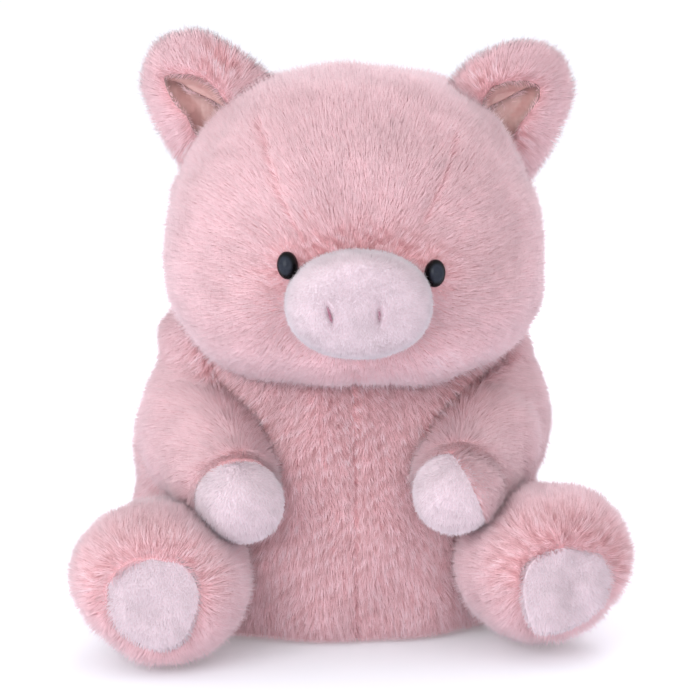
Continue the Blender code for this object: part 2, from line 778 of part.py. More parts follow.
def make_leg(side, cutters):
    """Leg skin open at the hip and at the sole, the sole pad in it and its stuffing."""
    label = "left" if side > 0 else "right"
    skin = dress(leg_form("leg_skin_" + label, side), FUR_PINK, FUR_ROUGH)
    pad = dress(leg_form("sole_pad_" + label, side), PAD_PINK, FUR_ROUGH)
    filling = leg_inner("leg_stuffing_" + label, side, SKIN + SEAM_GAP)
    dress(filling, STUFFING_WHITE, STUFFING_ROUGH)
    cavity = as_cutter(leg_inner("leg_cavity_" + label, side, SKIN))
    hole_rings = sole_rings(side, SEAM_GAP, -SOLE_DEPTH - SEAM_GAP, OVERRUN)
    hole = as_cutter(object_from_rings("sole_hole_" + label, hole_rings))
    plug = as_cutter(object_from_rings("sole_plug_" + label, sole_rings(side, 0.0, -SOLE_DEPTH, OVERRUN)))
    shape_by(skin, cavity)
    shape_by(pad, cavity)
    shape_by(skin, hole)
    shape_by(pad, plug, "INTERSECT")
    for item in (skin, pad, filling):
        shape_by(item, cutters["torso"])
    shape_by(skin, cutters["floor"])
    return [skin, pad, filling]


def make_tail():
    """Curled stem of fur; its root ends square at the back of the torso."""
    tree = tree_of(bpy.data.objects["torso_skin"])
    behind = Vector((0.0, SPAN, TAIL_HEIGHT_SHARE * TORSO_HEIGHT))
    seat, _, _, _ = tree.ray_cast(behind, Vector((0.0, -1.0, 0.0)))
    line = bpy.data.curves.new("tail", "CURVE")
    line.dimensions = "3D"
    line.bevel_depth = TAIL_RADIUS
    line.bevel_resolution = TAIL_CORNER_SEGMENTS
    line.use_fill_caps = True
    spline = line.splines.new("POLY")
    points = [seat + Vector((0.0, SEAM_GAP, 0.0))]
    for step in range(TAIL_POINTS):
        share = step / (TAIL_POINTS - 1)
        angle = math.tau * TAIL_TURNS * share
        points.append(seat + Vector((
            TAIL_CURL * math.sin(angle),
            TAIL_STEM + share * TAIL_RISE,
            TAIL_CURL * (1.0 - math.cos(angle)),
        )))
    spline.points.add(len(points) - 1)
    for place, point in zip(spline.points, points):
        place.co = (*point, 1.0)
    for index, place in enumerate(spline.points):
        place.radius = 1.0 - (1.0 - TAIL_TIP_SHARE) * index / (len(points) - 1)
    item = bpy.data.objects.new("tail", line)
    bpy.context.scene.collection.objects.link(item)
    item.data.materials.append(finish_of("tail", FUR_PINK, FUR_ROUGH))
    hang("tail_axis", points[0] + Vector((0.0, 0.0, TAIL_RADIUS)), [item])


def make_cutters():
    """Planes and grown copies of the larger forms, which shape the smaller ones."""
    place, normal = neck_place(), neck_normal()
    seat = place.translation
    cutters = {
        "floor": half_space("floor_plane", Vector((0.0, 0.0, 0.0)), Vector((0.0, 0.0, -1.0))),
        "torso": as_cutter(torso_form("torso_grown", SEAM_GAP)),
    }
    for name, lift in (
        ("below_head", SEAM_GAP / 2),
        ("below_head_cavity", SKIN),
        ("below_head_stuffing", SKIN + SEAM_GAP),
    ):
        cutters[name] = half_space(name, seat + normal * lift, -normal)
    hole = NECK_ROLL_RADIUS + GAP
    rows = [(-NECK_ROLL_DOWN - GAP, hole), (OVERRUN, hole)]
    neck_hole = object_from_rings("neck_hole", turned_rings(place, rows, NECK_SEGMENTS))
    cutters["neck_hole"] = as_cutter(neck_hole)
    wide = NECK_ROLL_RADIUS + NECK_HOLE_CLEARANCE
    rows = [(-OVERRUN, wide), (NECK_ROLL_UP + NECK_HOLE_CLEARANCE, wide)]
    head_hole = object_from_rings("head_hole", turned_rings(place, rows, NECK_SEGMENTS))
    cutters["head_hole"] = as_cutter(head_hole)
    for name, grow in (("head_sweep", SEAM_GAP / 2), ("yoke", SKIN), ("yoke_inner", SKIN + SEAM_GAP)):
        radius = HEAD_WIDTH / 2 + grow
        rows = [(along * SWEEP_HEIGHT - grow, share * radius) for along, share in SWEEP_SHARES]
        cutters[name] = as_cutter(object_from_rings(name, turned_rings(place, rows, SWEEP_SEGMENTS)))
    for side, label in ((1, "left"), (-1, "right")):
        grows = (("leg_", SEAM_GAP), ("leg_wall_", SKIN / 2), ("leg_inner_", SKIN / 2 + SEAM_GAP))
        for name, grow in grows:
            cutters[name + label] = as_cutter(leg_form(name + "cut_" + label, side, grow))
    return cutters


def hang(name, pivot, pieces):
    """Empty on a joint's axis that carries the pieces of one moving body."""
    empty = bpy.data.objects.new(name, None)
    bpy.context.scene.collection.objects.link(empty)
    empty.location = pivot
    inverse = Matrix.Translation(pivot).inverted()
    for piece in pieces:
        piece.parent = empty
        piece.matrix_parent_inverse = inverse
    return empty


def mirrored(point, side):
    return Vector((side * point.x, point.y, point.z))


def build():
    clear_scene()
    cutters = make_cutters()
    make_torso(cutters)
    neck = make_neck()
    head = make_head(cutters)
    tree = tree_of(head[0])
    head_cut = as_cutter(head_form("head_for_ears", SEAM_GAP))
    snout = make_snout(tree)
    nod = neck_place() @ Vector((0.0, NOD_BACK, 0.0))
    hang("neck_axis", neck_place().translation, neck)
    hang("nod_axis", nod, head + snout)
    for side, label in ((1, "left"), (-1, "right")):
        hang("eye_holder_" + label, nod, make_eye(tree, side, head, snout[0]))
        hinge = ear_place(side) @ Vector((0.0, EAR_HINGE_BACK, EAR_HINGE_RISE))
        hang("ear_axis_" + label, hinge, make_ear(side, head_cut))
        shoulder = arm_line(side)[0] + mirrored(ARM_PIVOT_STEP, side)
        hang("arm_axis_" + label, shoulder, make_arm(side, cutters))
        hip = leg_line(side)[0] + mirrored(LEG_PIVOT_STEP, side)
        hang("leg_axis_" + label, hip, make_leg(side, cutters))
    make_tail()


build()
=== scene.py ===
"""Plush pig: combed fur, short-pile pads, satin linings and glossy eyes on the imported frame.

Metres, +Z up. The pig faces -Y, so its own left is +X. Hides are lofted from rings and shaped in
place, and fur is one tapered strand for each root on them.
"""

import math

import bpy
import numpy as np
from mathutils import Matrix, Vector
from mathutils.bvhtree import BVHTree


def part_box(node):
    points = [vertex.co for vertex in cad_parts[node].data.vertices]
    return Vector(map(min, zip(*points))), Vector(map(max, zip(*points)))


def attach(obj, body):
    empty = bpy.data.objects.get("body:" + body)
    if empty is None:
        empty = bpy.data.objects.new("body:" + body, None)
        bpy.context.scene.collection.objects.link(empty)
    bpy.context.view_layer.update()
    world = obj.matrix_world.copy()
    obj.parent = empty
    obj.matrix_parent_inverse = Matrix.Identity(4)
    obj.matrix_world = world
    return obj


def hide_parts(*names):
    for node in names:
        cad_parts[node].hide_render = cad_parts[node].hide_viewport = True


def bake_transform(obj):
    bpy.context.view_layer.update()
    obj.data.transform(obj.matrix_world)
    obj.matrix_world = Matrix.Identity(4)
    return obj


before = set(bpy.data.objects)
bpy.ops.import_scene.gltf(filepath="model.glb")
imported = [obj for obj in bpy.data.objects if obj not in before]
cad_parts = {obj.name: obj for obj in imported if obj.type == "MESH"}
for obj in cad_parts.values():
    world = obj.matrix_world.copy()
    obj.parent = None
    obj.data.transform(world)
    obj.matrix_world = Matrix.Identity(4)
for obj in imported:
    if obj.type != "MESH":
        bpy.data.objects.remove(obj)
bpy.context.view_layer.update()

# Camera

IMAGE_SIDE = 700
CAMERA_AZIMUTH = math.radians(-4.0)
CAMERA_ELEVATION = math.radians(10.0)
CAMERA_DISTANCE = 1.4
CAMERA_TARGET = Vector((0.005, 0.0, 0.128))
CAMERA_SPAN = 0.3367
PIXEL = CAMERA_SPAN / IMAGE_SIDE
SENSOR = 36.0

camera_back = Vector((
    math.sin(CAMERA_AZIMUTH) * math.cos(CAMERA_ELEVATION),
    -math.cos(CAMERA_AZIMUTH) * math.cos(CAMERA_ELEVATION),
    math.sin(CAMERA_ELEVATION),
))
camera_data = bpy.data.cameras.new("camera")
camera_data.sensor_width = SENSOR
camera_data.lens = SENSOR * CAMERA_DISTANCE / CAMERA_SPAN
camera_data.clip_end = 20.0
camera = bpy.data.objects.new("camera", camera_data)
bpy.context.scene.collection.objects.link(camera)
camera.location = CAMERA_TARGET + CAMERA_DISTANCE * camera_back
camera.rotation_euler = (-camera_back).to_track_quat("-Z", "Y").to_euler()
bpy.context.scene.camera = camera

CAMERA_PLACE = np.array(camera.location)
AHEAD = np.array(-camera_back)
RIGHT = np.cross(AHEAD, (0.0, 0.0, 1.0))
RIGHT /= np.linalg.norm(RIGHT)
UP = np.cross(RIGHT, AHEAD)


def pixels_of(points):
    """Where points fall in the photograph's frame, in pixels from its top left."""
    away = points - CAMERA_PLACE
    scale = IMAGE_SIDE * CAMERA_DISTANCE / CAMERA_SPAN
    depth = away @ AHEAD
    across = IMAGE_SIDE / 2 + scale * (away @ RIGHT) / depth
    down = IMAGE_SIDE / 2 - scale * (away @ UP) / depth
    return np.stack([across, down], axis=1)


def onto_plane(spots, place, level, axis=1):
    """Where the camera's rays through image spots meet a level plane of a frame, on its two axes."""
    scale = CAMERA_SPAN / CAMERA_DISTANCE / IMAGE_SIDE
    spots = np.array(spots, float) - IMAGE_SIDE / 2
    rays = AHEAD + scale * (spots[:, :1] * RIGHT - spots[:, 1:] * UP)
    inverse = np.array(place.inverted())
    start = inverse[:3, :3] @ CAMERA_PLACE + inverse[:3, 3]
    rays = rays @ inverse[:3, :3].T
    reach = (level - start[axis]) / rays[:, axis]
    axes = [index for index in range(3) if index != axis]
    return (start + rays * reach[:, None])[:, axes]


# Forms: rows give the share of the length, then of the width and the depth, and the shift in depth

SIDES = {"left": 1, "right": -1}
TORSO_SHARES = (
    (0.00, 0.74, 0.78, -0.030),
    (0.03, 0.85, 0.88, -0.030),
    (0.11, 0.94, 0.96, -0.035),
    (0.27, 0.99, 1.00, -0.040),
    (0.42, 0.985, 0.97, -0.025),
    (0.60, 0.945, 0.87, 0.000),
    (0.77, 0.920, 0.75, 0.020),
    (0.90, 0.91, 0.57, 0.030),
    (0.97, 0.79, 0.45, 0.030),
    (1.00, 0.54, 0.30, 0.030),
)
TORSO = dict(low=-0.0005, height=0.156, width=0.194, depth=0.140, place=(0.0, 0.0),
             shares=TORSO_SHARES, squareness=2.1)
TORSO_LEAN = ((0.0, 0.050, 0.075, 0.105, 0.130, 0.143), (0.0, -0.0020, -0.0014, 0.0032, 0.0034, 0.0012))
HEAD_SHARES = (
    (0.000, 0.44, 0.44, -0.060),
    (0.035, 0.61, 0.65, -0.060),
    (0.117, 0.805, 0.84, -0.060),
    (0.237, 0.942, 0.945, -0.050),
    (0.360, 0.972, 1.00, -0.035),
    (0.520, 0.958, 1.00, -0.010),
    (0.650, 0.940, 0.965, 0.010),
    (0.763, 0.87, 0.885, 0.025),
    (0.870, 0.74, 0.74, 0.035),
    (0.950, 0.54, 0.54, 0.040),
    (1.000, 0.18, 0.18, 0.040),
)
HEAD = dict(low=0.118, height=0.1463, width=0.183, depth=0.154, place=(0.006, -0.010),
            shares=HEAD_SHARES, squareness=2.2)
ARM_SHARES = (
    (0.000, 0.45, 0.45),
    (0.050, 0.74, 0.74),
    (0.160, 0.95, 0.96),
    (0.330, 1.00, 1.00),
    (0.560, 0.90, 0.83),
    (0.760, 0.76, 0.65),
    (0.890, 0.63, 0.53),
    (0.965, 0.43, 0.36),
    (1.000, 0.18, 0.15),
)
PAW_SHARES = ARM_SHARES[:6] + ((0.890, 0.67, 0.575), (0.965, 0.53, 0.45), (1.000, 0.33, 0.28))
PAW_SHARE = 0.78
ARMS = {
    "left": dict(root=(0.0757, 0.01603, 0.1000), tip=(0.04199, -0.10597, 0.0720)),
    "right": dict(root=(-0.0750, 0.01603, 0.1000), tip=(-0.04599, -0.10597, 0.0690)),
}
LEG_SHARES = (
    (0.00, 0.50, 0.50),
    (0.06, 0.68, 0.68),
    (0.22, 0.84, 0.86),
    (0.42, 0.95, 0.97),
    (0.60, 1.00, 1.00),
    (0.78, 0.96, 0.96),
    (0.90, 0.85, 0.85),
    (0.97, 0.69, 0.69),
    (1.00, 0.52, 0.52),
)
LEGS = {
    "left": dict(root=(0.07498, -0.01603, 0.033), tip=(0.09698, -0.11203, 0.045)),
    "right": dict(root=(-0.07498, -0.01603, 0.033), tip=(-0.09298, -0.12203, 0.038)),
}
for label in SIDES:
    ARMS[label].update(thick=0.058, tall=0.060, shares=ARM_SHARES)
    LEGS[label].update(thick=0.078, tall=0.072, shares=LEG_SHARES)
SNOUT_SHARES = ((0.0, 1.0), (0.45, 1.0), (0.70, 0.97), (0.87, 0.87), (0.96, 0.68), (1.0, 0.38))
EAR_SHARES = ((0.00, 0.90), (0.20, 1.00), (0.42, 0.98), (0.62, 0.885), (0.80, 0.755), (0.93, 0.60),
              (1.00, 0.38))


def unit(vectors):
    return vectors / np.maximum(np.linalg.norm(vectors, axis=-1, keepdims=True), 1e-12)


def smoothstep(low, high, value):
    part = np.clip((value - low) / (high - low), 0.0, 1.0)
    return part * part * (3.0 - 2.0 * part)


def bell(value, width):
    """1 at zero, falling as a value grows either way."""
    return np.exp(-((value / width) ** 2))


def fading(value, width):
    """1 up to zero, falling as a value grows."""
    return bell(np.maximum(value, 0.0), width)


def ripple(points, size, seed, waves=7):
    """Smooth field, about -1 to 1, that changes over the size given."""
    chance = np.random.default_rng(seed)
    ways = unit(chance.normal(size=(waves, 3))) * chance.uniform(0.7, 1.4, (waves, 1))
    phases = chance.uniform(0.0, math.tau, waves)
    total = np.zeros(len(points))
    for way, phase in zip(ways, phases):
        total += np.sin(points @ way * (math.tau / size) + phase)
    return total / math.sqrt(waves)


def pushed(points, ways, amount):
    """Points moved along their own ways, each by its own amount."""
    return points + ways * amount[:, None]


def kept(keep, *rows):
    return tuple(row[keep] for row in rows)


def smooth_rows(rows, count):
    """Rows of a share table, read at even steps along a smooth curve through them."""
    table = np.array(rows)
    places = np.linspace(0.0, 1.0, len(table))
    wanted = np.linspace(0.0, 1.0, count)
    slopes = np.gradient(table, places, axis=0)
    index = np.clip(np.searchsorted(places, wanted, side="right") - 1, 0, len(table) - 2)
    width = (places[index + 1] - places[index])[:, None]
    part = ((wanted - places[index])[:, None]) / width
    start, end = table[index], table[index + 1]
    rise, fall = slopes[index] * width, slopes[index + 1] * width
    square, cube = part**2, part**3
    return (
        start * (2 * cube - 3 * square + 1)
        + rise * (cube - 2 * square + part)
        + end * (3 * square - 2 * cube)
        + fall * (cube - square)
    )


def oval(segments, squareness=2.0):
    """Unit oval, one row for each point; a squareness over 2 fills its corners."""
    angles = math.tau * (np.arange(segments) + 0.5) / segments
    shape = np.stack([np.cos(angles), np.sin(angles)], axis=1)
    return np.copysign(np.abs(shape) ** (2.0 / squareness), shape)


def oval_rings(rows, segments, squareness=2.0):
    """Rings of ovals, one for each row of a height, two half widths and a shift along Y."""
    ring = oval(segments, squareness)
    level, half_x, half_y, shift = (np.array(column)[:, None] for column in zip(*rows))
    ones = np.ones(segments)
    return np.stack([half_x * ring[:, 0], half_y * ring[:, 1] + shift, level * ones], axis=-1)


def outward_place(point, direction):
    """Frame whose Z leads along the direction and whose Y leads up."""
    out = Vector(direction).normalized()
    across = Vector((0.0, 0.0, 1.0)).cross(out).normalized()
    up = out.cross(across)
    return Matrix.Translation(point) @ Matrix((across, up, out)).transposed().to_4x4()


def limb_place(form):
    root, tip = Vector(form["root"]), Vector(form["tip"])
    return outward_place(root, tip - root), (tip - root).length


def axis_of(place, index):
    return np.array(place.col[index][:3])


def moved(place, points):
    """Points or rings of points taken from a frame to the row frame."""
    matrix = np.array(place)
    return points @ matrix[:3, :3].T + matrix[:3, 3]


def within(place, points):
    """Points of the row frame, read in a frame."""
    return moved(place.inverted(), points)


def upright_rings(form, grow, count, segments):
    rise, wide, deep, shift = smooth_rows(form["shares"], count).T
    half_x, half_y = form["width"] / 2 + grow, form["depth"] / 2 + grow
    level = form["low"] - grow + rise * (form["height"] + 2 * grow)
    middle = form["place"][1] + shift * form["depth"]
    rings = oval_rings(zip(level, wide * half_x, deep * half_y, middle), segments, form["squareness"])
    rings[..., 0] += form["place"][0]
    return rings


def limb_rings(form, grow, count, segments):
    place, length = limb_place(form)
    along, wide, high = smooth_rows(form["shares"], count).T
    half_x, half_y = form["thick"] / 2 + grow, form["tall"] / 2 + grow
    level = along * (length + 2 * grow) - grow
    return moved(place, oval_rings(zip(level, wide * half_x, high * half_y, 0.0 * level), segments))


def inside_upright(points, form, grow):
    """True for points inside a standing form grown by an amount."""
    rise, wide, deep, shift = smooth_rows(form["shares"], 200).T
    level = (points[:, 2] - form["low"] + grow) / (form["height"] + 2 * grow)
    half_x = np.interp(level, rise, wide) * (form["width"] / 2 + grow)
    half_y = np.interp(level, rise, deep) * (form["depth"] / 2 + grow)
    middle = form["place"][1] + np.interp(level, rise, shift) * form["depth"]
    power = form["squareness"]
    across = np.abs((points[:, 0] - form["place"][0]) / half_x) ** power
    ahead = np.abs((points[:, 1] - middle) / half_y) ** power
    return (across + ahead < 1.0) & (level > 0.0) & (level < 1.0)


def inside_limb(points, form, grow):
    """True for points inside a limb grown by an amount."""
    place, length = limb_place(form)
    local = within(place, points)
    along, wide, high = smooth_rows(form["shares"], 200).T
    reach = (local[:, 2] + grow) / (length + 2 * grow)
    half_x = np.interp(reach, along, wide) * (form["thick"] / 2 + grow)
    half_y = np.interp(reach, along, high) * (form["tall"] / 2 + grow)
    value = (local[:, 0] / half_x) ** 2 + (local[:, 1] / half_y) ** 2
    return (value < 1.0) & (reach > 0.0) & (reach < 1.0)


def rounded_ends(rings, first, last, count=6):
    """Rings with a shallow cap of the heights given added at each end."""
    def dome(ring, inner, height):
        middle = ring.mean(axis=0)
        out = unit(middle - inner.mean(axis=0))
        shares = np.linspace(1.0, 0.0, count + 1)[1:-1]
        return [middle + (ring - middle) * share + out * height * (1.0 - share**2) for share in shares]
    start = dome(rings[0], rings[1], first)[::-1]
    end = dome(rings[-1], rings[-2], last)
    return np.array(start + list(rings) + end)


def skin_of(rings):
    """Points and triangles of a form's rings, closed at both ends."""
    count, segments, _ = rings.shape
    points = np.concatenate([rings.reshape(-1, 3), rings[0].mean(0)[None], rings[-1].mean(0)[None]])
    row = np.arange(count - 1)[:, None] * segments
    step = np.arange(segments)[None, :]
    after = (step + 1) % segments
    a, b = row + step, row + after
    c, d = b + segments, a + segments
    sides = np.stack([a, b, c, a, c, d], axis=-1).reshape(-1, 3)
    foot, top = count * segments, count * segments + 1
    last = (count - 1) * segments
    low = np.stack([after[0], step[0], np.full(segments, foot)], axis=-1)
    high = np.stack([last + step[0], last + after[0], np.full(segments, top)], axis=-1)
    return points, np.concatenate([sides, low, high])


def normals_of(points, faces):
    a, b, c = (points[faces[:, i]] for i in range(3))
    cross = np.cross(b - a, c - a)
    total = np.zeros_like(points)
    for i in range(3):
        np.add.at(total, faces[:, i], cross)
    return unit(total)


def surface_of(points, faces):
    return BVHTree.FromPolygons(points.tolist(), faces.tolist())


def above(surface, points, limit=0.060):
    """Signed distance of points from a closed surface, positive outside, and the way out."""
    distance = np.full(len(points), limit)
    out = np.zeros((len(points), 3))
    out[:, 2] = 1.0
    for index, point in enumerate(points.tolist()):
        found, normal, _, gap = surface.find_nearest(point, limit)
        if found is None:
            continue
        way = Vector(point) - found
        sign = 1.0 if way.dot(normal) >= 0.0 else -1.0
        distance[index] = sign * gap
        out[index] = way.normalized() * sign if gap > 1e-5 else normal
    return distance, out


def merged(points, own, other, reach):
    """Points of one skin, pushed out where it runs softly into another; reach is given per point."""
    points = points.copy()
    gap, _ = above(other, points)
    near = np.flatnonzero((reach > 0.0005) & (gap < reach) & (gap > -0.35 * reach))
    spots, size = points[near], reach[near]
    for _ in range(3):
        one, out_one = above(own, spots)
        two, out_two = above(other, spots)
        share = np.clip(size - np.abs(one - two), 0.0, None) / size
        level = np.minimum(one, two) - share**2 * size / 4.0
        weight = np.where(one < two, 1.0 - share / 2.0, share / 2.0)[:, None]
        way = out_one * weight + out_two * (1.0 - weight)
        steep = np.maximum((way * way).sum(1), 0.2)
        spots = spots - way * (level / steep)[:, None]
    points[near] = spots
    return points


def line_distance(spots, line):
    """Distance of spots from a broken line, in the spots' own unit, and the side they lie on."""
    best = np.full(len(spots), 1e9)
    side = np.ones(len(spots))
    for start, end in zip(np.array(line[:-1], float), np.array(line[1:], float)):
        way = end - start
        share = np.clip(((spots - start) @ way) / (way @ way), 0.0, 1.0)
        gap = spots - (start + share[:, None] * way)
        distance = np.linalg.norm(gap, axis=1)
        nearer = distance < best
        best[nearer] = distance[nearer]
        side[nearer] = np.sign(way[0] * gap[nearer, 1] - way[1] * gap[nearer, 0])
    return best, side


def outline_depth(spots, outline):
    """How far spots lie inside a closed outline, or outside it as a negative value."""
    best, _ = line_distance(spots, np.concatenate([outline, outline[:1]]))
    inside = np.zeros(len(spots), bool)
    for start, end in zip(outline, np.roll(outline, -1, axis=0)):
        way = end - start
        crosses = (start[1] > spots[:, 1]) != (end[1] > spots[:, 1])
        rise = np.where(np.abs(way[1]) < 1e-12, 1e-12, way[1])
        inside ^= crosses & (spots[:, 0] < start[0] + way[0] * (spots[:, 1] - start[1]) / rise)
    return np.where(inside, best, -best)


def outline_disc(outline, count, segments):
    """Rings from an outline's eased edge, sewn in all round, to its centre, and their radii's shares."""
    centre = outline.mean(axis=0)
    angles = math.tau * np.arange(segments) / segments
    ways = np.stack([np.cos(angles), np.sin(angles)], axis=1)
    steps = np.linspace(0.0, LARGEST_OUTLINE, 1200)
    reach = np.empty(segments)
    for index, way in enumerate(ways):
        reach[index] = steps[np.argmax(outline_depth(centre + steps[:, None] * way, outline) < 0.0)]
    for _ in range(6):
        reach = (np.roll(reach, 1) + 2.0 * reach + np.roll(reach, -1)) / 4.0
    radii = np.linspace(0.0, 1.0, count + 1)[1:][::-1][:, None]
    reach = reach + SEWN_IN
    return centre[0] + radii * reach * ways[:, 0], centre[1] + radii * reach * ways[:, 1], radii


# Fur

PILE = 0.0058
INSET = 0.0027
FUR_DENSITY = 2.35e6
HEAD_THICKNESS, EAR_THICKNESS, TAIL_THICKNESS = 1.10, 1.15, 1.6
STRAND_WIDTH = 0.00030
PRESSED_WIDTH = 0.00044
PRESSED = 0.55
GUARD_SHARE, GUARD_GROWTH, GUARD_TILT, GUARD_WIDTH = 0.14, 1.28, 0.72, 0.75
SKIN_FACING = 0.80
FLOOR_REST = 0.0006
# painted light and shade along each strand: the tips are paler, the roots darker and redder
TIP_PAINTED_LIGHT = 0.16
ROOT_SHADE_TINT = (1.0, 0.91, 0.925)
FUR_COLOUR = (0.96, 0.625, 0.68)
# colour of the strands' painted reddish shade, mixed in as specks where shade falls
REDDISH_SHADE_COLOUR = (0.95, 0.39, 0.42)
PAD_COLOUR = (0.945, 0.79, 0.86)
# the hide stands for the backing and the dense inner pile; it is darker and redder than the strands, which
# paints the shade deep in the pile
HIDE_COLOUR = (0.76, 0.40, 0.43)
PAD_HIDE_COLOUR = (0.92, 0.76, 0.83)
NAP = dict(clump_size=0.0030, tip_light=0.6)
PAD_NAP = dict(NAP, lean=0.42, width=0.00040, clump=0.0002)
PAD_NAP_LENGTH = 0.0028
SEWN_IN = 0.0012
LARGEST_OUTLINE = 0.06


def mesh_object(name, points, faces, material, normals=None, tint=None):
    mesh = bpy.data.meshes.new(name)
    size = faces.shape[1]
    mesh.vertices.add(len(points))
    mesh.vertices.foreach_set("co", points.astype(np.float32).ravel())
    mesh.loops.add(faces.size)
    mesh.loops.foreach_set("vertex_index", faces.astype(np.int32).ravel())
    mesh.polygons.add(len(faces))
    mesh.polygons.foreach_set("loop_start", np.arange(0, faces.size, size, dtype=np.int32))
    mesh.update(calc_edges=True)
    mesh.shade_smooth()
    if tint is not None:
        layer = mesh.color_attributes.new("tint", "FLOAT_COLOR", "POINT")
        full = np.ones((len(points), 4), np.float32)
        full[:, :3] = tint
        layer.data.foreach_set("color", full.ravel())
    if normals is not None:
        mesh.normals_split_custom_set_from_vertices(normals.astype(np.float32))
    mesh.materials.append(material)
    item = bpy.data.objects.new(name, mesh)
    bpy.context.scene.collection.objects.link(item)
    return item


def add_piece(name, points, faces, material, body, slot, replaced=(), fill=None, bend=None, **looks):
    """A piece that rides its body; given a bend, it keeps its place and rides nothing, and the bend's body
    and points are not used.
    """
    item = mesh_object(name, points, faces, material, **looks)
    if bend is None:
        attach(item, body)
    else:
        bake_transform(item)
    if replaced:
        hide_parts(*replaced)


def scatter(points, faces, normals, density, seed):
    """Roots spread evenly over a skin, with the skin's direction at each."""
    chance = np.random.default_rng(seed)
    a, b, c = (points[faces[:, i]] for i in range(3))
    area = np.linalg.norm(np.cross(b - a, c - a), axis=1) / 2
    total = np.cumsum(area)
    count = int(total[-1] * density)
    chosen = np.searchsorted(total, (np.arange(count) + chance.random(count)) * total[-1] / count)
    chosen = np.clip(chosen, 0, len(faces) - 1)
    one, two = chance.random(count), chance.random(count)
    over = one + two > 1.0
    one[over], two[over] = 1.0 - one[over], 1.0 - two[over]
    share = np.stack([1.0 - one - two, one, two], axis=1)[:, :, None]
    roots = (points[faces[chosen]] * share).sum(axis=1)
    ways = unit((normals[faces[chosen]] * share).sum(axis=1))
    return roots, ways


def resting(roots, ways, level):
    """True where a skin lies on the floor."""
    return (ways[:, 2] < -0.85) & (roots[:, 2] < level)


def thinned(keep, pressed):
    """Leaves every second strand out where another part of the toy lies on the fur."""
    return keep & ~(pressed & (np.arange(len(keep)) % 2 == 1))


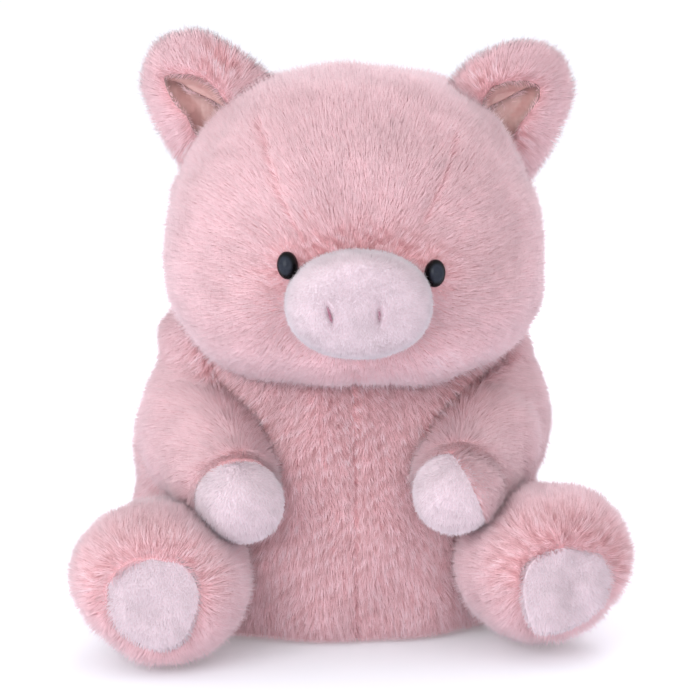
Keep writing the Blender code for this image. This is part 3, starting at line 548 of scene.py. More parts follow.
def strands(name, body, slot, roots, ways, comb, length, colour, seed, pressed=False, lean=0.66,
            width=STRAND_WIDTH, wander=0.26, clump=0.0003, clump_size=0.0050, root_shade=0.92,
            tip_light=1.0, reddish_shade=0.0, bend=None):
    """Fur: one tapered strand for each root, combed along the skin and gathered in soft locks."""
    chance = np.random.default_rng(seed)
    count = len(roots)
    length = length * np.where(pressed, PRESSED, 1.0)
    length = length * (1.0 + 0.05 * ripple(roots, 0.014, seed + 1) + chance.normal(0, 0.10, count))
    guard = chance.random(count) < GUARD_SHARE
    length = np.where(guard, length * GUARD_GROWTH, length)
    comb = unit(comb - ways * (comb * ways).sum(1, keepdims=True))
    side = np.cross(ways, comb)
    turn = wander * (0.7 * ripple(roots, 0.030, seed + 2) + 0.5 * ripple(roots, 0.011, seed + 3))
    turn = turn + chance.normal(0, 0.16, count)
    comb = comb * np.cos(turn)[:, None] + side * np.sin(turn)[:, None]
    tilt = np.clip(lean + 0.07 * ripple(roots, 0.017, seed + 4) + chance.normal(0, 0.08, count), 0.05, 1.3)
    tilt = 1.45 * np.where(guard, tilt * GUARD_TILT, tilt)
    # a lock's strands lean towards the crest of a field that changes every few millimetres
    step = clump_size * 0.05
    gather = np.stack([
        ripple(roots + way * step, clump_size, seed + 5) - ripple(roots - way * step, clump_size, seed + 5)
        for way in np.eye(3)
    ], axis=1) / 0.6
    gather -= ways * (gather * ways).sum(1, keepdims=True)
    gather -= comb * ((gather * comb).sum(1, keepdims=True) * 0.5)
    tips = pushed(roots, ways * np.cos(tilt)[:, None] + comb * np.sin(tilt)[:, None], length) + gather * clump
    spike = unit(tips - roots)
    flat = unit(np.cross(spike, ways))
    upper = unit(np.cross(flat, spike))
    upper *= np.sign((upper * ways).sum(1, keepdims=True))
    roll = chance.uniform(0.0, math.tau, count)
    width = np.where(pressed, PRESSED_WIDTH, width) * chance.uniform(0.8, 1.2, count)
    width = width * np.where(guard, GUARD_WIDTH, 1.0)
    points = np.empty((count, 4, 3))
    normals = np.empty((count, 4, 3))
    for corner in range(3):
        angle = (roll + math.tau * corner / 3)[:, None]
        out = flat * np.cos(angle) + upper * np.sin(angle)
        points[:, corner] = pushed(roots, out, width * 0.58)
        normals[:, corner] = unit(SKIN_FACING * ways + (1.0 - SKIN_FACING) * out)
    points[:, 3] = tips
    normals[:, 3] = unit(ways + 0.2 * spike)
    points[..., 2] = np.maximum(points[..., 2], FLOOR_REST + 0.0004 * chance.random(count)[:, None])
    turned = (np.cross(flat, upper) * spike).sum(1) > 0
    base = np.arange(count)[:, None] * 4
    first, second = np.where(turned, 0, 1)[:, None], np.where(turned, 1, 0)[:, None]
    third, tip = np.full_like(first, 2), np.full_like(first, 3)
    corners = ((first, second), (second, third), (third, first))
    faces = np.concatenate([base + np.concatenate([one, two, tip], axis=1) for one, two in corners])
    shade = 1.0 + 0.030 * ripple(roots, 0.028, seed + 6) + 0.030 * ripple(roots, 0.007, seed + 7)
    shade = np.clip(shade + chance.normal(0, 0.035, count), 0.8, 1.2)
    # painted reddish shade: where it is asked for, the shade colour is mixed in as specks, whose tone is
    # spread darker and lighter round the same mean
    speck = 0.5 + 0.45 * ripple(roots, 0.0045, seed + 8) + 0.35 * ripple(roots, 0.0019, seed + 9)
    speck = np.clip(speck, 0.0, 1.4)
    shade = shade * np.clip(1.0 + 0.55 * (0.5 - speck) * reddish_shade, 0.7, 1.2)
    mix = np.clip(reddish_shade * speck, 0.0, 1.0)[:, None]
    colour = np.asarray(colour, float) * (1.0 - mix) + np.array(REDDISH_SHADE_COLOUR) * mix
    tint = np.repeat((colour * shade[:, None])[:, None], 4, axis=1)
    # painted shade at the roots, darker and redder, and painted light at the tips, which are paler
    tint[:, :3] *= root_shade * np.array(ROOT_SHADE_TINT)
    tint[:, 3] = 1.0 - (1.0 - tint[:, 3]) * (1.0 - TIP_PAINTED_LIGHT * tip_light)
    add_piece(name, points.reshape(-1, 3), faces, FUR, body, slot, bend=bend,
              normals=normals.reshape(-1, 3), tint=np.clip(tint, 0.0, 1.0).reshape(-1, 3))


# Materials


def connect(tree, target, inputs):
    """Gives a node's inputs their values, or links them to other nodes' outputs."""
    for name, value in inputs.items():
        if isinstance(value, bpy.types.NodeSocket):
            tree.links.new(value, target.inputs[name])
        else:
            target.inputs[name].default_value = value


def node(tree, kind, output, inputs, **settings):
    made = tree.nodes.new("ShaderNode" + kind)
    for name, value in settings.items():
        setattr(made, name, value)
    connect(tree, made, inputs)
    return made.outputs[output]


def material_of(name, build):
    """A material whose shader takes the inputs that a function builds in its node tree."""
    material = bpy.data.materials.new(name)
    material.use_nodes = True
    tree = material.node_tree
    connect(tree, tree.nodes["Principled BSDF"], build(tree))
    return material


def noise(tree, scale, detail=3.0):
    place = node(tree, "TexCoord", "Object", {})
    return node(tree, "TexNoise", "Fac", {"Vector": place, "Scale": scale, "Detail": detail})


def bands(tree, direction, scale, distortion=0.0):
    place = node(tree, "TexCoord", "Object", {})
    inputs = {"Vector": place, "Scale": scale, "Distortion": distortion}
    return node(tree, "TexWave", "Fac", inputs, wave_type="BANDS", bands_direction=direction)


def ranged(tree, value, low, high, from_low=0.3, from_high=0.7):
    inputs = {"Value": value, "From Min": from_low, "From Max": from_high, "To Min": low, "To Max": high}
    return node(tree, "MapRange", "Result", inputs)


def mixed(tree, factor, one, two):
    inputs = {"Factor": factor, "A": (*one, 1.0), "B": (*two, 1.0)}
    return node(tree, "Mix", "Result", inputs, data_type="RGBA")


def bumped(tree, height, strength, distance):
    return node(tree, "Bump", "Normal", {"Height": height, "Strength": strength, "Distance": distance})


def times(tree, colour, factor):
    return node(tree, "VectorMath", "Vector", {0: colour, "Scale": factor}, operation="SCALE")


def tint_of(tree, output="Color"):
    return node(tree, "Attribute", output, {}, attribute_name="tint")


def sheen(weight, roughness, tint):
    return {"Sheen Weight": weight, "Sheen Roughness": roughness, "Sheen Tint": (*tint, 1.0)}


def fur_nodes(tree):
    cloud = ranged(tree, noise(tree, 60.0), 0.95, 1.05)
    return {
        "Base Color": times(tree, tint_of(tree), cloud),
        "Roughness": ranged(tree, noise(tree, 350.0), 0.55, 0.8),
        "Specular IOR Level": 0.12,
        **sheen(0.28, 0.45, (0.78, 0.93, 1.0)),
    }


def hide_nodes(colour):
    def build(tree):
        fine = noise(tree, 900.0, 2.0)
        dark, pale = [value * 0.86 for value in colour], [min(1.0, value * 1.12) for value in colour]
        return {
            "Base Color": mixed(tree, fine, dark, pale),
            "Roughness": ranged(tree, fine, 0.8, 1.0),
            "Specular IOR Level": 0.1,
            "Normal": bumped(tree, fine, 0.6, 0.0006),
        }
    return build


def satin_nodes(tree):
    threads = [bands(tree, direction, 130.0, 0.8) for direction in "XZ"]
    weave = node(tree, "Math", "Value", {0: threads[0], 1: threads[1]}, operation="ADD")
    cloud = ranged(tree, noise(tree, 120.0), 0.0, 1.0)
    colour = mixed(tree, cloud, (0.46, 0.235, 0.225), (0.57, 0.345, 0.325))
    return {
        "Base Color": times(tree, colour, tint_of(tree, "Fac")),
        "Roughness": ranged(tree, weave, 0.34, 0.46, 0.0, 2.0),
        "Specular IOR Level": 0.55,
        "Anisotropic": 0.4,
        "Normal": bumped(tree, weave, 0.25, 0.0002),
        **sheen(0.25, 0.35, (1.0, 0.90, 0.88)),
    }


def eye_nodes(tree):
    cloud = noise(tree, 500.0)
    return {
        "Base Color": times(tree, tint_of(tree), ranged(tree, cloud, 0.85, 1.15)),
        "Roughness": ranged(tree, cloud, 0.20, 0.26),
        "Specular IOR Level": 0.12,
    }


def thread_nodes(tree):
    twist = bands(tree, "DIAGONAL", 420.0)
    return {
        "Base Color": mixed(tree, twist, (0.26, 0.09, 0.14), (0.40, 0.16, 0.23)),
        "Roughness": ranged(tree, twist, 0.6, 0.8, 0.0, 1.0),
        "Normal": bumped(tree, twist, 0.5, 0.0003),
    }


def washer_nodes(tree):
    cloud = noise(tree, 700.0)
    return {
        "Base Color": mixed(tree, cloud, (0.74, 0.74, 0.73), (0.84, 0.84, 0.84)),
        "Roughness": ranged(tree, cloud, 0.3, 0.45),
        "Normal": bumped(tree, cloud, 0.2, 0.0001),
    }


FUR = material_of("fur", fur_nodes)
HIDE = material_of("hide", hide_nodes(HIDE_COLOUR))
PAD_HIDE = material_of("pad_hide", hide_nodes(PAD_HIDE_COLOUR))
SATIN = material_of("satin", satin_nodes)
EYE = material_of("eye", eye_nodes)
THREAD = material_of("thread", thread_nodes)
WASHER = material_of("washer", washer_nodes)

# Seams and creases, in pixels of the photograph but for the middle seam, which is in metres

MIDDLE_X = 0.0030
FOREHEAD_SEAMS = (
    ((262, 128), (273, 166), (286, 205), (307, 250)),
    ((452, 140), (445, 174), (434, 200), (422, 224)),
)
EAR_CREASES = (((236, 88), (212, 118), (184, 166)), ((470, 84), (496, 116), (526, 168)))
ARM_CREASES = (
    ((204, 340), (212, 362), (220, 379), (237, 406), (255, 432)),
    ((503, 352), (484, 374), (468, 393), (452, 409), (436, 424)),
)
# rows give the middle of a patch of painted reddish shade, its spread and its strength
BODY_SHADE_PATCHES = (
    (466, 386, 22, 0.60),
    (446, 404, 16, 0.50),
    (430, 432, 16, 0.35),
    (208, 358, 14, 0.40),
    (230, 396, 14, 0.40),
    (262, 428, 18, 0.30),
    (357, 398, 9, 0.30),
    (350, 402, 45, 0.22),
)
# patches of painted reddish shade on the ears, in pixels of the photograph, with spread and strength
EAR_SHADE_PATCHES = tuple((x, y, 17, 0.75) for x, y in ((230, 66), (214, 62), (193, 150), (486, 84), (515, 140)))
FRONT_FACING = 0.3


def middle_seam(points):
    """Distance from the seam down the middle, in metres, and the side."""
    gap = points[:, 0] - MIDDLE_X
    return np.abs(gap), np.sign(gap)


def line_nearness(points, lines, spread):
    """Nearness to lines of the photograph, 1 on them and falling over the spread in pixels."""
    spots = pixels_of(points)
    return np.max([bell(line_distance(spots, line)[0], spread) for line in lines], axis=0)


def arm_crease(points, normals, spread=7.0):
    """Nearness to the creases that run from the neck down the inner side of each arm."""
    return line_nearness(points, ARM_CREASES, spread) * (normals[:, 1] < FRONT_FACING)


def shade_patches(points, flushes):
    """Patches of painted reddish shade, as the photograph shows them."""
    spots = pixels_of(points)
    return sum(amount * bell(np.linalg.norm(spots - (x, y), axis=1), spread)
               for x, y, spread, amount in flushes)


# painted reddish shade in the body's patches, left off the surfaces that face backwards
def body_shade(points, normals):
    return shade_patches(points, BODY_SHADE_PATCHES) * (normals[:, 1] < FRONT_FACING)


# Torso

SHOULDERS = {"left": 0.024, "right": 0.016}
SEAT_LEVEL = 0.0008


def torso_skin():
    rings = upright_rings(TORSO, -INSET, 150, 220)
    rings[..., 0] += np.interp(rings[..., 2], *TORSO_LEAN)
    rings[..., 2] -= (INSET - SEAT_LEVEL) * np.clip(1.0 - rings[..., 2] / 0.03, 0.0, 1.0)
    points, faces = skin_of(rounded_ends(rings, 0.0, 0.002))
    normals = normals_of(points, faces)
    points = pushed(points, normals, -0.0012 * bell(middle_seam(points)[0], 0.0020))
    points = pushed(points, normals, 0.0012 * ripple(points, 0.060, 41))
    points[:, 2] = np.maximum(points[:, 2], SEAT_LEVEL)
    return points, faces


def shoulder_reach(points, label):
    """How softly the arm and the shoulder run together: widely outside and above, hardly inside."""
    form = ARMS[label]
    place, length = limb_place(form)
    local = within(place, points)
    share = local[:, 2] / length
    turn = SIDES[label] * local[:, 0] / form["thick"] + 1.3 * local[:, 1] / form["tall"]
    turn = turn + 1.3 * smoothstep(0.22, 0.0, share)
    return SHOULDERS[label] * smoothstep(-0.40, 0.10, turn) * smoothstep(0.44, 0.14, share)


def make_torso():
    points, faces = TORSO_SKIN
    for label in SIDES:
        points = merged(points, TORSO_SURFACE, ARM_SURFACES[label], shoulder_reach(points, label))
    normals = normals_of(points, faces)
    points = pushed(points, normals, -0.0030 * arm_crease(points, normals))
    nodes = ("torso_skin", "torso_stuffing", "pellet_bag")
    add_piece("torso_hide", points, faces, HIDE, "torso", "fur_pink", nodes, 0.8)
    roots, ways = scatter(points, faces, normals_of(points, faces), FUR_DENSITY, 101)
    hidden = resting(roots, ways, 0.003) | inside_upright(roots, HEAD, -0.034)
    pressed = inside_upright(roots, HEAD, -0.010)
    for label in SIDES:
        hidden |= inside_limb(roots, LEGS[label], -0.026)
        pressed |= inside_limb(roots, ARMS[label], -INSET - 0.0015) | inside_limb(roots, LEGS[label], -0.010)
    roots, ways, pressed = kept(thinned(~hidden, pressed), roots, ways, pressed)
    gap, side = middle_seam(roots)
    near = bell(gap, 0.0025)
    comb = np.stack([0.25 * roots[:, 0] / 0.09 + 0.28 * near * side,
                     np.full(len(roots), 0.30), np.full(len(roots), -1.0)], axis=1)
    # painted reddish shade: a little all over, more on the lower front of the belly, in the creases beside
    # the arms, along the middle seam and in the body's patches
    belly = smoothstep(0.150, 0.095, roots[:, 2] + 0.5 * gap) * smoothstep(0.2, -0.6, ways[:, 1])
    reddish_shade = 0.16 + 0.34 * belly + 0.60 * arm_crease(roots, ways, 12.0) + 0.10 * near + body_shade(roots, ways)
    strands("torso_fur", "torso", "fur_pink", roots, ways, comb, PILE * (1.0 - 0.22 * near), FUR_COLOUR, 110,
            pressed, reddish_shade=reddish_shade)


def make_seat():
    """Oval panel that closes the seat, with a piped edge."""
    low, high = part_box("base_panel")
    middle = (low.y + high.y) / 2
    rows = ((0.0042, 0.0400, 0.0285), (0.0046, 0.0440, 0.0318), (0.0030, 0.0452, 0.0332),
            (0.0012, 0.0448, 0.0327), (0.0004, 0.0435, 0.0315))
    points, faces = skin_of(oval_rings([(*row, middle) for row in rows], 120))
    add_piece("seat_panel", points, faces[:, ::-1], PAD_HIDE, "torso", "fur_pink", ("base_panel",), 0.2)


# Head

SNOUT_PLACE = Matrix((
    (1.0, 0.0, 0.0, 0.0026),
    (0.0, 0.0698, -0.9976, -0.0912),
    (0.0, 0.9976, 0.0698, 0.1650),
    (0.0, 0.0, 0.0, 1.0),
))
SNOUT_WIDTH, SNOUT_HEIGHT, SNOUT_OUT, SNOUT_IN = 0.066, 0.049, 0.021, 0.016
SNOUT_SQUARENESS = 2.2
EYE_HALF = (0.0047, 0.0063)
EYE_HEIGHT = 0.0045
EYE_PLACES = {
    "left": Matrix((
        (0.9797, 0.1151, 0.1643, 0.0371),
        (0.1456, 0.1551, -0.9771, -0.0885),
        (-0.1379, 0.9812, 0.1351, 0.1781),
        (0.0, 0.0, 0.0, 1.0),
    )),
    "right": Matrix((
        (0.9320, -0.0829, -0.3528, -0.0292),
        (-0.3351, 0.1733, -0.9261, -0.0869),
        (0.1379, 0.9814, 0.1338, 0.1821),
        (0.0, 0.0, 0.0, 1.0),
    )),
}


def snout_gap(points):
    """How far points lie outside the snout's oval, seen along it, and their places on the snout."""
    local = within(SNOUT_PLACE, points)
    shares = np.abs(local[:, :2] / (SNOUT_WIDTH / 2, SNOUT_HEIGHT / 2)) ** SNOUT_SQUARENESS
    gap = (shares.sum(axis=1) ** (1 / SNOUT_SQUARENESS) - 1.0) * SNOUT_HEIGHT / 2 * 1.15
    return np.where(local[:, 2] > -0.030, gap, 1.0), local


def eye_gap(points, label):
    """How far points lie outside an eye's oval, seen along it, and their places on the eye."""
    local = within(EYE_PLACES[label], points)
    gap = (np.hypot(*(local[:, :2] / EYE_HALF).T) - 1.0) * EYE_HALF[0]
    return np.where(np.abs(local[:, 2]) < 0.02, gap, 1.0), local


def away_from(place, local):
    """Ways straight away from the middle of a frame, for points given in it."""
    return unit(local[:, :1] * axis_of(place, 0) + local[:, 1:2] * axis_of(place, 1))


def head_seams(points, normals):
    """Nearness to a seam of the head, the side of it, whether it is the middle one, and its side."""
    front = normals @ np.array(camera_back) > 0.05
    spots = pixels_of(points)
    near, side = np.zeros(len(points)), np.ones(len(points))
    for line in FOREHEAD_SEAMS:
        distance, way = line_distance(spots, line)
        value = bell(distance * PIXEL, 0.0030) * front
        side = np.where(value > near, -way, side)
        near = np.maximum(near, value)
    gap, way = middle_seam(points)
    below = (smoothstep(0.150, 0.142, points[:, 2]) * (points[:, 1] < 0)) + (points[:, 1] > 0.0)
    value = bell(gap, 0.0030) * np.clip(below, 0.0, 1.0)
    return np.maximum(near, value), side, value > near, way


def head_skin():
    """The head's bag: a raised chin, creases before the ears, a dent round the snout, full eye lids."""
    rings = upright_rings(HEAD, -INSET, 150, 210)
    points, faces = skin_of(rounded_ends(rings, 0.001, 0.0016))
    chin = smoothstep(0.146, 0.122, points[:, 2]) * smoothstep(-0.030, -0.060, points[:, 1])
    points[:, 2] += 0.0032 * chin * bell(points[:, 0] - MIDDLE_X, 0.050)
    normals = normals_of(points, faces)
    near, _, middle, _ = head_seams(points, normals)
    drop = 0.0008 * near * np.where(middle, 0.5, 1.0)
    for line in EAR_CREASES:
        drop += 0.0044 * line_nearness(points, (line,), 24.0) * smoothstep(0.034, 0.008, points[:, 1])
    drop += 0.0016 * fading(snout_gap(points)[0], 0.0060)
    for label in SIDES:
        drop -= 0.0012 * fading(eye_gap(points, label)[0], 0.0050)
    points = pushed(points, normals, -drop)
    return pushed(points, normals, 0.0011 * ripple(points, 0.055, 57)), faces


def make_head():
    points, faces = head_skin()
    add_piece("head_hide", points, faces, HIDE, "head", "fur_pink", ("head_skin", "head_stuffing"), 0.85)
    roots, ways = scatter(points, faces, normals_of(points, faces), FUR_DENSITY * HEAD_THICKNESS, 201)
    keep = (snout_gap(roots)[0] > -0.0015) & ~inside_upright(roots, TORSO, -0.030)
    for label in SIDES:
        keep &= eye_gap(roots, label)[0] > -0.0004
    pressed = inside_upright(roots, TORSO, -0.008)
    roots, ways, pressed = kept(thinned(keep, pressed), roots, ways, pressed)
    snout, local = snout_gap(roots)
    comb = unit(roots - np.array(SNOUT_PLACE.translation))
    behind = smoothstep(-0.030, 0.050, roots[:, 1])[:, None]
    comb = comb * (1.0 - behind) + np.array([0.0, 0.3, -1.0]) * behind
    around = fading(snout, 0.0085)
    comb = comb * (1.0 - 0.85 * around)[:, None] + away_from(SNOUT_PLACE, local) * (0.95 * around)[:, None]
    length = PILE * (1.0 - 0.45 * around)
    # painted shade round the snout's seam, and in the loop below round the eyes
    shade = 1.0 - 0.16 * fading(snout - 0.001, 0.0080)
    for label in SIDES:
        gap, spot = eye_gap(roots, label)
        close = fading(gap, 0.0050)
        away = away_from(EYE_PLACES[label], spot)
        comb = comb * (1.0 - 0.6 * close)[:, None] + away * (0.6 * close)[:, None]
        length = length * (1.0 - 0.42 * close)
        shade = shade * (1.0 - 0.12 * close)
    # painted light on the chin, whose fur turns down away from the light
    shade = shade + 0.14 * smoothstep(0.152, 0.136, roots[:, 2]) * smoothstep(-0.020, -0.050, roots[:, 1])
    # painted shade on the sides of the cheeks
    aside = np.abs(roots[:, 0] - HEAD["place"][0])
    cheek_shade = smoothstep(0.028, 0.048, aside) * smoothstep(0.082, 0.068, aside)
    cheek_shade = cheek_shade * smoothstep(0.205, 0.175, roots[:, 2])
    shade = shade - 0.06 * cheek_shade
    near, side, middle, way = head_seams(roots, ways)
    right = np.cross(ways, unit(comb))
    spread = np.where(middle, 0.12 * way, 0.34 * side) * np.sign(right[:, 0])
    comb = unit(comb) + right * (near * spread)[:, None]
    # painted reddish shade, strongest just above the snout, fainter round it, along the seams and a little
    # all over
    above_snout = smoothstep(-0.002, 0.012, local[:, 1])
    reddish_shade = 0.75 * fading(snout, 0.0090) * above_snout
    reddish_shade = reddish_shade + 0.20 * fading(snout, 0.0220) * smoothstep(0.0, 0.02, local[:, 1])
    reddish_shade = np.maximum(reddish_shade, 0.30 * near) + 0.05
    strands("head_fur", "head", "fur_pink", roots, ways, comb, length * (1.0 - 0.10 * near),
            np.array(FUR_COLOUR) * shade[:, None], 210, pressed, reddish_shade=reddish_shade, root_shade=0.96)


def make_neck():
    place = Matrix.Translation((0.006, -0.006, 0.125)) @ Matrix.Rotation(math.radians(12.0), 4, "X")
    rows = ((-0.0148, 0.0190), (-0.0130, 0.0212), (-0.0060, 0.0236), (0.0, 0.0238), (0.0040, 0.0215),
            (0.0072, 0.0150))
    rings = moved(place, oval_rings([(level, radius, radius, 0.0) for level, radius in rows], 64))
    points, faces = skin_of(rounded_ends(rings, 0.001, 0.0008))
    add_piece("neck_wad", points, faces, PAD_HIDE, "neck", "polyester_stuffing", ("neck_roll",), 1.0)


# Snout

# rows give a nostril's place on the snout and how far it slants
NOSTRILS = {"right": (-0.0033 - 0.011, -0.003, -0.26), "left": (-0.0033 + 0.011, -0.003, 0.02)}
NOSTRIL_HALF = 0.0036
THREAD_RADIUS = 0.00029
SNOUT_INSET = 0.0018


def nostril_distance(local, nostril, wide, high):
    """Distance from a nostril's middle, 1 on an oval of the half sizes given."""
    x, y, slant = nostril
    across = local[:, 0] - x - slant * (local[:, 1] - y)
    return np.hypot(across / wide, (local[:, 1] - y) / high)


def make_snout():
    along, share = smooth_rows(SNOUT_SHARES, 60).T
    level = along * (SNOUT_OUT + SNOUT_IN - SNOUT_INSET) - SNOUT_IN
    half_x, half_y = SNOUT_WIDTH / 2 - SNOUT_INSET, SNOUT_HEIGHT / 2 - SNOUT_INSET
    rings = oval_rings(zip(level, share * half_x, share * half_y, 0.0 * level), 160, SNOUT_SQUARENESS)
    rings = rounded_ends(rings, 0.0, 0.0011, 16)
    flat = rings.reshape(-1, 3)
    for nostril in NOSTRILS.values():
        for wide, high, deep in ((0.0050, 0.0070, 0.0009), (0.0012, 0.0042, 0.0013)):
            flat[:, 2] -= deep * bell(nostril_distance(flat, nostril, wide, high), 1.0) * (flat[:, 2] > 0.008)
    points, faces = skin_of(moved(SNOUT_PLACE, rings))
    nodes = ("snout_cover", "snout_stuffing")
    add_piece("snout_pad", points, faces, PAD_HIDE, "head", "pad_pink", nodes, 0.9)
    roots, ways = scatter(points, faces, normals_of(points, faces), 3.4e6, 301)
    keep = ~inside_upright(roots, HEAD, -0.008)
    for nostril in NOSTRILS.values():
        keep &= nostril_distance(within(SNOUT_PLACE, roots), nostril, 0.0005, NOSTRIL_HALF) > 1.0
    roots, ways = kept(keep, roots, ways)
    local = within(SNOUT_PLACE, roots)
    comb = np.stack([local[:, 0] * 12.0, local[:, 1] * 12.0 - 0.5, np.full(len(local), -0.3)], axis=1)
    comb = comb @ np.array(SNOUT_PLACE.to_3x3()).T
    # painted shade: darker and pinker round each nostril's dent, and darker towards the snout's lower edge
    nostril_shade = sum(bell(nostril_distance(local, nostril, 0.0030, 0.0055), 1.0) for nostril in NOSTRILS.values())
    shade = 1.0 - 0.070 * smoothstep(0.004, -0.014, local[:, 1])
    colour = np.array(PAD_COLOUR) * shade[:, None] * (1.0 - nostril_shade[:, None] * (0.04, 0.13, 0.09))
    strands("snout_nap", "head", "pad_pink", roots, ways, comb, 0.0024, colour, 310,
            lean=0.34, width=0.00036, clump=0.00015, wander=0.12, **NAP)
    for label, nostril in NOSTRILS.items():
        make_nostril(label, *nostril)


def make_nostril(label, x, y, slant):
    """Bar of satin stitches: three twisted threads side by side, tucked in at both ends."""
    share = np.linspace(-1.0, 1.0, 24)
    ring = oval(10) * THREAD_RADIUS
    all_points, all_faces = [], []
    for index, (lane, lift) in enumerate(((-0.00030, 0.0), (0.0, 0.00012), (0.00030, 0.0))):
        middle = np.stack([
            x + slant * share * NOSTRIL_HALF + lane * np.sqrt(np.clip(1.0 - share**2, 0.05, 1.0)),
            y + share * NOSTRIL_HALF,
            SNOUT_OUT - 0.0019 + lift - 0.0010 * np.abs(share) ** 3,
        ], axis=1)
        rings = middle[:, None, :] + np.insert(ring, 1, 0.0, axis=1)
        points, faces = skin_of(moved(SNOUT_PLACE, rings))
        all_points.append(points)
        all_faces.append(faces + index * len(points))
    points, faces = np.concatenate(all_points), np.concatenate(all_faces)
    nodes = ("nostril_stitch_" + label,)
    add_piece("nostril_threads_" + label, points, faces, THREAD, "head", "stitching_thread", nodes)


# Eyes

# the eye's own near-black at its rim, and the lighter blue-grey of a painted reflection in the dome's middle
EYE_RIM_TINT = np.array((0.002, 0.0015, 0.002))
EYE_PAINTED_REFLECTION = np.array((0.022, 0.025, 0.037))


def make_eye(label):
    """Domed oval eye with its flange and shank; the dome's middle is a painted reflection, lighter than its
    near-black rim.
    """
    rows = [(-0.0130, 0.0016, 0.0016, 0.0), (-0.0012, 0.0016, 0.0016, 0.0), (-0.0012, *EYE_HALF, 0.0),
            (-0.0003, *EYE_HALF, 0.0)]
    for angle in np.linspace(0.0, math.pi / 2, 22)[:-1]:
        wide = math.cos(angle)
        rows.append((EYE_HEIGHT * math.sin(angle), EYE_HALF[0] * wide, EYE_HALF[1] * wide, 0.0))
    points, faces = skin_of(moved(EYE_PLACES[label], oval_rings(rows, 72)))
    rim = np.hypot(*(within(EYE_PLACES[label], points)[:, :2] / EYE_HALF).T)
    glow_and_reflection = smoothstep(0.82, 0.52, rim)[:, None]
    add_piece("eye_dome_" + label, points, faces, EYE, "head", "eye_plastic", ("eye_" + label,),
              tint=EYE_RIM_TINT * (1.0 - glow_and_reflection) + EYE_PAINTED_REFLECTION * glow_and_reflection)
    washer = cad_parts["eye_washer_" + label].data
    washer.materials.clear()
    washer.materials.append(WASHER)


# Ears

EAR_HEIGHT, EAR_WIDTH, EAR_THICK = 0.069, 0.062, 0.024
EAR_ROOTS = {"left": (0.0578, 0.001, 0.2145), "right": (-0.0388, 0.001, 0.2205)}
EAR_RIM = -0.0090
SATIN_THICK = 0.0008
# outlines and folds of the linings, in pixels of the photograph
LINING_SPOTS = {
    "right": ((165, 79), (174, 76), (191, 77), (205, 82), (217, 92), (227, 108), (226, 122), (214, 139),
              (203, 143), (194, 130), (188, 115), (176, 103), (169, 91)),
    "left": ((484, 112), (486, 100), (495, 89), (510, 84), (526, 83), (538, 87), (538, 98), (530, 111),
             (521, 122), (513, 138), (498, 134)),
}
LINING_FOLDS = {
    "right": ((166, 80), (178, 85), (191, 94), (206, 101), (224, 110), (240, 120)),
    "left": ((536, 83), (526, 92), (510, 101), (489, 111), (474, 119)),
}


def ear_place(label):
    side = SIDES[label]
    lean = Matrix.Rotation(side * math.radians(40.0), 4, "Y")
    tilt = Matrix.Rotation(math.radians(-4.0), 4, "X")
    facing = Matrix.Rotation(side * math.radians(14.0), 4, "Z")
    return Matrix.Translation(EAR_ROOTS[label]) @ lean @ tilt @ facing


def lining_outline(label):
    return onto_plane(LINING_SPOTS[label], ear_place(label), EAR_RIM)


def lining_gaps(label, local):
    """How far an ear's points lie inside its satin lining, and past the lining's fold."""
    spots = local[:, [0, 2]]
    distance, way = line_distance(spots, onto_plane(LINING_FOLDS[label], ear_place(label), EAR_RIM))
    return outline_depth(spots, lining_outline(label)), distance * way * -SIDES[label]


def lining_level(label, local):
    """Level of the satin: a shallow bowl with one panel folded over the other."""
    depth, gap = lining_gaps(label, local)
    level = EAR_RIM + 0.0004 + 0.0058 * smoothstep(-0.0010, 0.0055, depth)
    step = np.tanh(gap / 0.0005) * np.exp(-np.abs(gap) / 0.0060)
    return level - 0.0020 * step * smoothstep(0.0, 0.0040, depth)


def ear_skin(label):
    """The ear's bag, with a rolled rim round the cup that holds the lining."""
    rise, wide = smooth_rows(EAR_SHARES, 96).T
    half_x, half_y = EAR_WIDTH / 2 - INSET, EAR_THICK / 2 - INSET
    rows = zip(rise * (EAR_HEIGHT - INSET), wide * half_x, (0.35 + 0.65 * wide) * half_y, 0.0 * rise)
    rings = oval_rings(rows, 160)
    if label == "left":
        outer = smoothstep(-0.2, -1.0, oval(160)[None, :, 0])
        rings[..., 0] -= 0.0038 * outer * bell(rise[:, None] - 0.64, 0.24)
    rings = rounded_ends(rings, 0.0, 0.0034, 10)
    flat = rings.reshape(-1, 3)
    depth, _ = lining_gaps(label, flat)
    hollow = smoothstep(-0.0012, 0.0010, depth) * (flat[:, 1] < 0.0)
    flat[:, 1] -= 0.0016 * bell(depth + 0.0045, 0.0040) * smoothstep(0.0, 0.004, -flat[:, 1])
    behind = lining_level(label, flat) + 0.0016
    flat[:, 1] = flat[:, 1] * (1.0 - hollow) + np.maximum(flat[:, 1], behind) * hollow
    return skin_of(moved(ear_place(label), rings))


